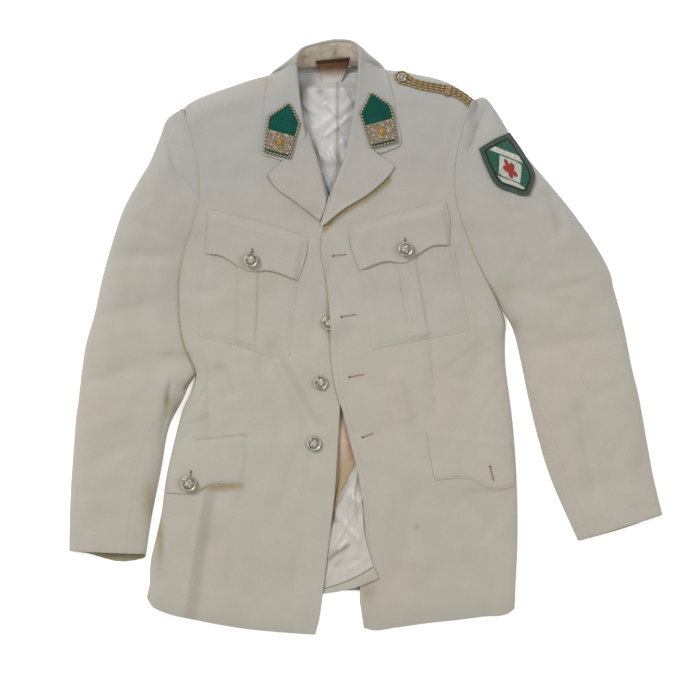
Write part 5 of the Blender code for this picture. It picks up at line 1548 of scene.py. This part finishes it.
# Lapels; the right one reaches under the collar at its upper edge, the left one over the right
LAPEL_CLOTH = 1.2
COLLAR_START = -104
UNDER_COLLAR = 7.0
UNDER_TIP = 2.4
LAPEL_FALL = 0.5
LAPEL_TIP_RISE = 1.2
LAIN_WIDE = 9
LAIN_HEAD = (176, 14)
LAIN_CLEAR = 0.7
for label, side in SIDES:
    west, east, south, north = LAPELS[label]
    if label == "right":
        north = [(x + 1.0, y + (UNDER_COLLAR if x > COLLAR_START else UNDER_TIP)) for x, y in north]
        west, east = west[:-1] + north[:1], east[:-1] + north[-1:]
    across = eased(LAPEL_GRID[1], LAPEL_PULL)
    across = 1 - across[::-1] if label == "right" else across
    left_edge = resample(curve(west), unit(LAPEL_GRID[0]))
    plan = patch(left_edge, curve(east), curve(south), curve(north), across)
    top = lapel_height(side, *places(plan)) - LAPEL_FALL * across[None, :] ** 3
    if label == "left":
        top = top + LAPEL_TIP_RISE * across[None, :] ** TIP_POWER
        from_turn = np.hypot(*(plan - plan[:, :1]).transpose(2, 0, 1))
        lain = (1 - smooth(from_turn / LAIN_WIDE)) * (1 - step(plan[..., 1], *LAIN_HEAD))
        under = lapel_height(RIGHT, plan[..., 0] - 4.0, plan[..., 1]) + LAIN_CLEAR
        top = top + lain * np.minimum(under - top, 0.0)
    name = "lapel_" + label
    dress("cloth_" + name, lift(plan, top), LAPEL_CLOTH, CREAM, name)

# Collar fall and, inside it, the stand up to just under its crest.
# The leaves' free halves come down on the fronts, less toward their points, by rows from the points
LEAF_END = (5.0, 1.2)
LEAF_DROP = 1.3
LEAF_MORE = 1.1
LEAF_MORE_AT = (2.0, 1.5)
GORGE_ROWS = 1.6
rows_at = np.linspace(0, len(COLLAR) - 1, COLLAR_GRID[0])
grid = collar_sections(rows_at, COLLAR_GRID[1])
from_end = np.minimum(rows_at, len(COLLAR) - 1 - rows_at)[:, None]
leaf = 1 - step(from_end, *LEAF_END)
drop = LEAF_DROP + LEAF_MORE * step(from_end, *LEAF_MORE_AT)
grid[..., 2] -= leaf * drop * smooth((unit(COLLAR_GRID[1]) - 0.5) / 0.5)[None, :]
for side, ended in ((RIGHT, rows_at), (LEFT, len(COLLAR) - 1 - rows_at)):
    level = lapel_height(side, *places(grid)) + 0.1
    share = (1 - smooth(ended / GORGE_ROWS))[:, None]
    grid[..., 2] = grid[..., 2] * (1 - share) + level * share
below = ["cloth_front_right", "cloth_front_left"]
dress("cloth_collar_fall", grid, LAPEL_CLOTH, CREAM, "collar_fall")

STAND_CLEAR = 0.35
STAND_TOP = 2.6
crest_rows = table(COLLAR, np.linspace(STAND_ROWS[0] + 0.1, STAND_ROWS[1] - 0.1, STAND_GRID[0]))
crest_way = crest_rows[:, 3:5] - crest_rows[:, 0:2]
crest_way /= np.linalg.norm(crest_way, axis=1, keepdims=True)
crest_line = crest_rows[:, 0:2] - STAND_CLEAR * crest_way
seam_line = curve(STAND_SEAM, len(crest_rows))
share = unit(STAND_GRID[1])[None, :, None]
stand_plan = crest_line[:, None, :] * (1 - share) + seam_line[:, None, :] * share
crest_rise = (crest_rows[:, 2] - STAND_TOP)[:, None, None]
stand_rise = SEAM_RISE + (crest_rise - SEAM_RISE) * (1 - share) ** STAND_BEND
grid = np.concatenate([stand_plan, stand_rise], axis=2)
edge = 0.5 * bell((share[..., 0] - 1.0) / 0.05)
patchy = 0.35 * np.clip(waved(grid[..., 0] * 3, grid[..., 1] * 5), 0, 1)
below, marks = ["cloth_collar_fall", "cloth_back"], cloth_marks(grid, patchy, edge)
dress("cloth_collar_stand", grid, THIN, STAINED, "collar_stand", marks)

# Neck label, its foot hanging over the lining
label_rows = table(LABEL_ROWS, np.linspace(0, 2, LABEL_GRID[0]))
share = unit(LABEL_GRID[1])[None, :, None]
grid = label_rows[:, None, 0:3] * (1 - share) + label_rows[:, None, 3:6] * share
down, over = shares(*LABEL_GRID)
dark_sides = 0.4 * (np.abs(2 * over - 1) > 0.93) * (down < 0.5)
marks = {"pale": step(down, 0.34, 0.6), "shade_seam_and_dirt": np.maximum(0.85 * (down < 0.16), dark_sides)}
below = ["cloth_collar_stand", "cloth_back_lining"]
dress("neck_label_plain", grid, LABEL_THICK, LABEL, "neck_label", marks)


def twist(name, line, radius, plies, lay, finish, sides=16):
    """Twisted cord along a line: plies wound round each other, one of them a second colour."""
    count = max(int(lengths(line)[-1] / (lay / 9)), 12)
    line = resample(np.asarray(line, float), unit(count))
    ahead = np.gradient(line, axis=0)
    ahead /= np.linalg.norm(ahead, axis=1, keepdims=True)
    across = np.cross(ahead, [0.0, 0.0, 1.0])
    across /= np.linalg.norm(across, axis=1, keepdims=True)
    upward = np.cross(across, ahead)
    run = lengths(line)
    angle = 2 * math.pi * np.arange(sides)[None, :] / sides
    phase = angle - 2 * math.pi * run[:, None] / lay
    ridge = np.abs(np.cos(phase * plies / 2))
    reach = radius * (0.76 + 0.24 * ridge)
    points = line[:, None, :] + reach[..., None] * (
        np.cos(angle)[..., None] * across[:, None, :] + np.sin(angle)[..., None] * upward[:, None, :])
    which = np.floor(((phase + math.pi / plies) % (2 * math.pi)) * plies / (2 * math.pi))
    centre = count * sides
    flat = np.vstack([points.reshape(-1, 3), line[:1], line[-1:]])
    faces = ring_faces(count, sides)
    for k in range(sides):
        after, last = (k + 1) % sides, centre - sides
        faces += [[centre, after, k], [centre + 1, last + k, last + after]]
    marks = {
        "ply": np.concatenate([ridge.ravel(), [1, 1]]),
        "strand": np.concatenate([(which == 0).astype(float).ravel(), [0, 0]]),
    }
    return make(name, flat, faces, finish, marks)


# Collar patches, lace bars, stars and edging
ZIGZAGS = 9
PIPING_RADIUS = 1.45
PIPING_LAY = 4.6
for label in ("right", "left"):
    west, east, south, north, low_west, low_east, high_west, high_east, centre = PATCHES[label]
    plan = region(west, east, south, north, *PATCH_GRID, straight)
    patch_name = "collar_patch_felt_" + label
    top = leaf_height(*places(plan)) + PATCH_LIFT + FELT
    dress(patch_name, lift(plan, top), FELT, GREEN, "collar_patch_" + label)
    line = border_of(plan)
    rise = leaf_height(*places(line)) + PATCH_LIFT + 1.0
    round_edge = np.column_stack([line, rise])
    piece = twist("patch_edging_" + label, round_edge, PIPING_RADIUS, 3, PIPING_LAY, PIPING, 12)
    plan = quad(low_west, low_east, high_west, high_east, *BAR_GRID)
    v, u = shares(*BAR_GRID)
    zig = np.abs(((u * ZIGZAGS + 0.5 * np.abs((v * 2) % 2 - 1)) % 1) - 0.5) * 2
    rim = np.minimum(v, 1 - v)
    ribs = 0.45 * smooth(zig) * smooth(rim / 0.12) + 0.3 * (rim < 0.1)
    top = leaf_height(*places(plan)) + PATCH_LIFT + FELT + GAP + BAR_THICK + ribs
    marks = {"stain_and_shade": np.zeros_like(u), "shade_seam_and_dirt": 0.45 * (zig < 0.25) * (rim > 0.1)}
    name = "lace_bar_" + label
    dress("lace_bar_silver_" + label, lift(plan, top), BAR_THICK, LACE, name, marks)
    spot = float(leaf_height(np.array([centre.x]), np.array([centre.y]))[0])
    foot = spot + PATCH_LIFT + FELT + BAR_THICK + 2 * GAP
    points, corners = [], 2 * STAR_POINTS
    for rise, scale in STAR_RINGS:
        for k in range(corners):
            radius = (STAR_TIP if k % 2 == 0 else STAR_DENT) * scale
            angle = math.pi / 2 + k * math.pi / STAR_POINTS
            x, y = centre.x + radius * math.cos(angle), centre.y + radius * math.sin(angle)
            points.append((x, y, foot + rise))
    points += [(centre.x, centre.y, foot + STAR_PEAK), (centre.x, centre.y, foot)]
    faces = ring_faces(3, corners)
    for k in range(corners):
        after = (k + 1) % corners
        faces.append([2 * corners + k, 2 * corners + after, 3 * corners])
        faces.append([after, k, 3 * corners + 1])
    hollow = np.array([0.5 if k % 2 else 0.0 for k in range(corners)] * 3 + [0, 0])
    piece = make("gold_star_" + label, points, faces, GOLD, {"hollow": hollow}, fair=False)
    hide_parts("star_" + label)


# Sleeve badge: a felt shield with a merrowed border, two slanting bands and a lozenge with a leaf
BADGE_BORDER = 4.5
BADGE_LINE = 7.2
BADGE_LIFT = 0.6
BAND_PLACE = 0.31
BAND_HALF = 0.06
MERROW_RADIUS = 1.3
MERROW_LAY = 2.6
plan = region(*SHIELD, *BADGE_GRID)
coarse = region(*SHIELD, *BADGE_COARSE)
base = sleeve_face(LEFT, *places(coarse))
rows_at, columns_at = np.linspace(0, 11, 110), np.linspace(0, 10, 100)
low = np.array([np.interp(columns_at, np.arange(11), row) for row in base])
rise = np.array([np.interp(rows_at, np.arange(12), column) for column in low.T]).T
u = np.linspace(-1, 1, 100)[None, :] * np.ones((110, 1))
v = unit(110)[:, None] * np.ones((1, 100))
rim = away_from(resample(border_of(plan), unit(400)), *places(plan))
border = smooth((BADGE_BORDER - rim) / 0.7 + 0.5)
line = (1 - border) * smooth((BADGE_LINE - rim) / 0.5 + 0.5)
inside = 1 - np.clip(border + line, 0, 1)
slant = v - 0.5 + 0.32 * u
bands = smooth((BAND_HALF - np.abs(np.abs(slant) - BAND_PLACE)) / 0.012 + 0.5)
lozenge = smooth((0.33 - np.abs(u * 0.55) - np.abs(v - 0.5)) / 0.012 + 0.5) * (np.abs(slant) < 0.22)
ring = np.hypot(u * 0.62, v - 0.5)
turn = np.arctan2(v - 0.5, u * 0.62)
leaf = smooth((0.175 * (0.5 + 0.5 * np.abs(np.cos(2.5 * (turn - math.pi / 2)))) - ring) / 0.01 + 0.5)
satin_rise = 0.25 * inside * np.clip(leaf + 0.6 * lozenge + 0.6 * bands, 0, 1)
grid = lift(plan, rise + GAP + BADGE_LIFT + FELT + satin_rise + 0.5 * border)
marks = {
    "border": border, "line": line, "red": inside * leaf,
    "white": inside * np.clip(lozenge + bands, 0, 1) * (1 - leaf),
}
dress("sleeve_badge_shield", grid, FELT, BADGE, "shield_badge", marks)
border = border_of(grid) + np.array([0, 0, -0.5])
piece = twist("badge_merrowed_edge", border, MERROW_RADIUS, 2, MERROW_LAY, MERROW, 12)

# Shoulder cord in two nested loops round its button, held by a wound slide
for label, narrow, wide in CORD_LOOPS:
    line = curve(cord_loop(curve(CORD_LINE, 40), narrow, wide), 260)
    high = np.maximum(front_height(LEFT, *places(line)), CORD_FLOOR) + CORD_RADIUS + 2 * GAP
    piece = twist("cord_loop_" + label, np.column_stack([line, high]), CORD_RADIUS, 3, CORD_LAY, CORD, 18)
    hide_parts("shoulder_cord_" + label)
SLIDE = (106.5, 319.5)
SLIDE_TURNS = 3
SLIDE_HALF = 3.2
SLIDE_REACH = 7.4
SLIDE_RISE = 3.4
turn = np.linspace(0, 2 * math.pi * SLIDE_TURNS, 60 * SLIDE_TURNS)
way, aside = np.array([0.97, -0.24]), np.array([0.24, 0.97])
along = np.outer(np.linspace(-SLIDE_HALF, SLIDE_HALF, len(turn)), way)
place = np.array(SLIDE) + along + SLIDE_REACH * np.outer(np.cos(turn), aside)
ground = np.maximum(front_height(LEFT, *places(place)), CORD_FLOOR) + 1.4
high = ground + SLIDE_RISE * np.maximum(np.sin(turn), 0)
piece = twist("cord_slide", np.column_stack([place, high]), 1.2, 3, 5.0, CORD, 12)


def button(name, node, x, y, z, radius, thickness, finish, points_of_star=5):
    """Domed button with a beaded rim, a groove and a plain star in relief."""
    sides, rings = 80, 34
    share = unit(rings)[:, None]
    angle = 2 * math.pi * np.arange(sides)[None, :] / sides
    dome = 0.72 + 0.12 * np.sqrt(np.clip(1 - (share / 0.84) ** 2, 0, 1))
    groove = -0.10 * bell((share - 0.72) / 0.04)
    beads = 0.16 * bell((share - 0.90) / 0.05) * (0.7 + 0.3 * np.cos(angle * 40))
    turned = (angle * points_of_star / (2 * math.pi)) % 1.0
    edge = 0.52 * (1 - 0.55 * (1 - np.abs(2 * turned - 1)))
    star = 0.15 * smooth((edge - share) / 0.16 + 0.35)
    rays = 0.03 * np.cos(angle * 20) * step(share, 0.3, 0.1) * smooth((0.66 - share) / 0.08)
    fall = 0.5 * step(share, 0.93, 0.07)
    high = thickness * (dome + groove + beads + star + rays - fall)
    deep = np.clip(0.9 * bell((share - 0.72) / 0.06) + 0.7 * (star < 0.02) * (share < 0.66), 0, 1)
    reach = np.append(share, [0.97, 0.85])[:, None]
    high = np.vstack([high, np.outer([0.12 * thickness, 0.0], np.ones(sides))])
    deep = np.vstack([deep + 0 * angle, np.full((2, sides), 0.6)])
    place = [x + radius * reach * np.cos(angle), y + radius * reach * np.sin(angle), z + high]
    points = np.stack(place, axis=-1).reshape(-1, 3)
    faces = [face[::-1] for face in ring_faces(len(reach), sides)]
    faces.append([len(points) - 1 - k for k in range(sides)])
    piece = make(name, points, faces, finish, {"hollow": deep.ravel()})
    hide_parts(node)
    return piece


for name, place, radius, side, stack in BUTTONS:
    across = place.x + SEAT_REACH * np.array([-1.0, 0.0, 1.0])
    ground = float(plain_front(side, across, np.full(3, float(place.y))).max())
    high = ground + stack + BUTTON_SEAT
    button(name + "_domed", name, place.x, place.y, high, radius, BUTTON_THICK, GILT)
around_x = SHOULDER_BUTTON.x + BUTTON_REACH * np.array([0.0, 1.0, 0.0, -1.0])
around_y = SHOULDER_BUTTON.y + BUTTON_REACH * np.array([1.0, 0.0, -1.0, 0.0])
seat = max(float(plain_front(LEFT, around_x, around_y).max()), CORD_FLOOR) + 2 * CORD_RADIUS + 3 * GAP
button(
    "button_shoulder_domed", "button_shoulder", SHOULDER_BUTTON.x, SHOULDER_BUTTON.y, seat,
    SMALL_RADIUS, SMALL_THICK, GILT,
)

# Turned-up inside of the skirt and its hem strip
SKIRT_FOLDS = listed(
    Fold,
    (-24, -262, -48, -308, 5, 1.7), (-46, -284, -24, -268, 4, 1.2), (-34, -236, -12, -262, 4, 1.4),
    (-10, -216, -34, -262, 3, 1.5), (-40, -300, -10, -290, 5, -0.8), (-20, -300, 2, -286, 5, 0.9),
    (-12, -180, -22, -230, 3, 1.4), (-4, -240, -14, -282, 4, 1.2),
)
SKIRT_TOP = (-6.0, -158.0)


def fine_skirt(x, y):
    """Turned skirt with its soft folds, staying inside the opening above the hem."""
    inside = TURNED_INSIDE + lining_height(x, y) + np.maximum(folded(x, y, SKIRT_FOLDS), -0.3)
    turned = skirt_height(x, y) + np.maximum(folded(x, y, SKIRT_FOLDS), -0.3)
    up = step(y, -214, 20)
    return turned * (1 - up) + inside * up


TURNED_INSIDE = LINING + GAP + SKIRT_LIFT
west, east, south, north = SKIRT
west = west + [(-30, -165)]
east = east + [(-8.5, -180), SKIRT_TOP]
north = [west[-1], SKIRT_TOP]
plan = region(west, east, south, north, *SKIRT_GRID)
grid = lift(plan, fine_skirt(*places(plan)))
dress("skirt_inside", grid, LINING, SATIN, "skirt_lining", lining_marks(grid))
plan = region(*SKIRT_HEM, *HEM_GRID)
grid = lift(plan, fine_skirt(*places(plan)))
v = shares(*HEM_GRID)[0]
grid[..., 2] += 0.5 - 0.6 * step(v, 0.8, 0.2)
marks = cloth_marks(grid, 0.35 * step(v, 0.78, 0.15))
dress("skirt_hem_strip", grid, LINING, CREAM, "skirt_hem", marks)


def stitches(name, rows, finish, pitch=3.2, long=2.0, thick=0.17):
    """Rows of small stitches; each row is a line of points on the cloth."""
    points, faces = [], []
    along, profile = unit(5), (0.35, 0.9, 1.0, 0.9, 0.35)
    for row in rows:
        row = np.asarray(row, float)
        run = lengths(row)
        starts = np.arange(pitch * 0.3, run[-1] - long, pitch)
        for start in starts:
            line = np.stack([np.interp(start + long * along, run, c) for c in row.T], axis=1)
            way = line[-1] - line[0]
            way /= max(np.linalg.norm(way), 1e-6)
            across = np.cross(way, [0.0, 0.0, 1.0])
            across /= max(np.linalg.norm(across), 1e-6)
            upward = np.cross(across, way)
            first = len(points)
            for fat, centre in zip(profile, line):
                for angle in 2 * math.pi * np.arange(5) / 5:
                    aside = math.cos(angle) * across + math.sin(angle) * upward
                    points.append(centre + thick * fat * aside)
            faces += ring_faces(len(profile), 5, first)
            faces.append([first + k for k in range(5)][::-1])
            faces.append([first + 20 + k for k in range(5)])
    piece = make(name, points, faces, finish)
    return piece


def raised(line, height, rise):
    """Plan line lifted on to a height form."""
    return np.column_stack([line, height(*places(line)) + rise])


# Stitching round the pockets, along their pleats and down the front edge
rows = []
for label, side in SIDES:
    plan = region(*POCKETS[label], 120, 100)
    for line in (plan[3:-3, 3], plan[3:-3, -4], plan[3, 3:-3]):
        rows.append(raised(line, partial(front_height, side), POCKET_EDGE + 0.2))
    foot, head, half = PLEATS[label]
    for off in (-half + 2.5, half - 2.5):
        line = curve([(foot.x + off, foot.y + 16), (head.x + off, head.y)], 60)
        over = pocket_over(label, *places(line))
        rows.append(raised(line, partial(front_height, side), over))
stitches("pocket_stitching", rows, THREAD)
EDGE_FOOT = -372
EDGE_HEAD = 132
EDGE_INSET = 6.0
edge = curve(FRONT_LEFT)
edge = edge[(edge[:, 1] > EDGE_FOOT) & (edge[:, 1] < EDGE_HEAD)] + np.array([EDGE_INSET, 0.0])
rows = [raised(edge, partial(front_height, LEFT), 0.05)]
line = curve(SKIRT[2], 60)
hem_rise = fine_skirt(*places(line)) + 0.2
stitches("front_edge_stitching", rows, THREAD)
stitches("skirt_hem_stitching", [np.column_stack([line, hem_rise])], HOLE_THREAD, 2.6, 1.9, 0.45)

# Buttonholes, each a worked ring of thread round a slit, with a darker eye: from the eye, to the
# other end, on which front, and how high over it
HOLE_HALF = 0.7
HOLE_THREAD_RADIUS = 0.42
HOLE_LAY = 1.2
EYE_REACH = 0.9
EYE_RADIUS = 0.6
HOLES = [
    ((-42.5, 105), (-26, 106.5), LEFT, 0.0), ((-32, 26), (-13, 29), LEFT, 0.0),
    ((-21.5, -52), (-2.5, -48.5), LEFT, 0.0), ((-4.5, -130), (9, -125), LEFT, 0.0),
    ((161, -168), (165.5, -186.5), LEFT, FLAP_CLOTH + 0.5), ((-147.5, 109.5), (-147, 114.5), RIGHT, 4.2),
    ((50.5, 124), (50.5, 128.5), LEFT, 4.2), ((-227, -174.5), (-227, -180.5), RIGHT, FLAP_CLOTH + 0.7),
]
for number, (start, end, side, rise) in enumerate(HOLES, 1):
    way = np.subtract(end, start)
    long = np.linalg.norm(way)
    way = way / long
    aside = np.array([-way[1], way[0]])
    turn = np.linspace(0, 2 * math.pi, 160)
    along = np.clip(0.5 * long * 1.08 * np.cos(turn), -0.5 * long, 0.5 * long)
    off = HOLE_HALF * np.sign(np.sin(turn)) * np.sqrt(np.abs(np.sin(turn)))
    ring = np.add(start, end) / 2 + along[:, None] * way + off[:, None] * aside
    line = raised(ring, partial(front_height, side), rise + 0.1)
    piece = twist("buttonhole_%d" % number, line, HOLE_THREAD_RADIUS, 2, HOLE_LAY, HOLE_CORD, 10)
    turn = np.linspace(0, 2 * math.pi, 40)
    ring = np.array(start) + EYE_REACH * np.column_stack([np.cos(turn), np.sin(turn)])
    line = raised(ring, partial(front_height, side), rise + 0.2)
    piece = twist("buttonhole_eye_%d" % number, line, EYE_RADIUS, 2, HOLE_LAY, EYE_CORD, 10)

# Floor, light and camera
COOL_LIGHT = (0.97, 0.985, 1.0)
SKY_STRENGTH = 0.55
SENSOR = 36.0
FLOOR_GLOW = 0.4
FLOOR_HALF = 4.0
FLOOR_LOW = -0.0004
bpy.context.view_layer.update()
floor_paint = Paint("pale_studio_floor", 0.95, specular=0.1)
floor_paint.tone = (250, 250, 250)
floor_paint.over((3.0, 2.0, 0.3, 0.7), (247, 247, 247))
glow = {"Emission Color": (1.0, 1.0, 1.0, 1.0), "Emission Strength": FLOOR_GLOW}
floor_paint.fill(floor_paint.shader, glow)
floor_mesh = bpy.data.meshes.new("studio_floor")
corners = ((-1, -1), (1, -1), (1, 1), (-1, 1))
floor_corners = [(FLOOR_HALF * x, FLOOR_HALF * y, FLOOR_LOW) for x, y in corners]
floor_mesh.from_pydata(floor_corners, [], [(0, 1, 2, 3)])
floor_mesh.materials.append(floor_paint.done())
floor = bpy.data.objects.new("studio_floor", floor_mesh)
bpy.context.scene.collection.objects.link(floor)


def lamp(name, place, size, power, colour=(1.0, 1.0, 1.0)):
    """Soft square light aimed at the middle of the floor."""
    light = bpy.data.lights.new(name, "AREA")
    light.size = size
    light.energy = power
    light.color = colour
    holder = bpy.data.objects.new(name, light)
    holder.location = place
    holder.rotation_euler = (-Vector(place)).to_track_quat("-Z", "Y").to_euler()
    bpy.context.scene.collection.objects.link(holder)


lamp("softbox_upper_left", (-3.8, 3.4, 5.0), 2.0, 300.0)
lamp("softbox_right", (4.0, 0.4, 4.4), 3.0, 90.0, COOL_LIGHT)
world = bpy.data.worlds.new("pale_studio")
world.use_nodes = True
world.node_tree.nodes["Background"].inputs["Color"].default_value = (1.0, 1.0, 1.0, 1.0)
world.node_tree.nodes["Background"].inputs["Strength"].default_value = SKY_STRENGTH
bpy.context.scene.world = world
bpy.context.scene.view_settings.view_transform = "Standard"

camera_data = bpy.data.cameras.new("camera")
camera_data.sensor_width = SENSOR
camera_data.lens = SENSOR * CAMERA_HEIGHT / VIEW_WIDTH
camera = bpy.data.objects.new("camera", camera_data)
camera.location = (AIM_X, AIM_Y, CAMERA_HEIGHT)
bpy.context.scene.collection.objects.link(camera)
bpy.context.scene.camera = camera
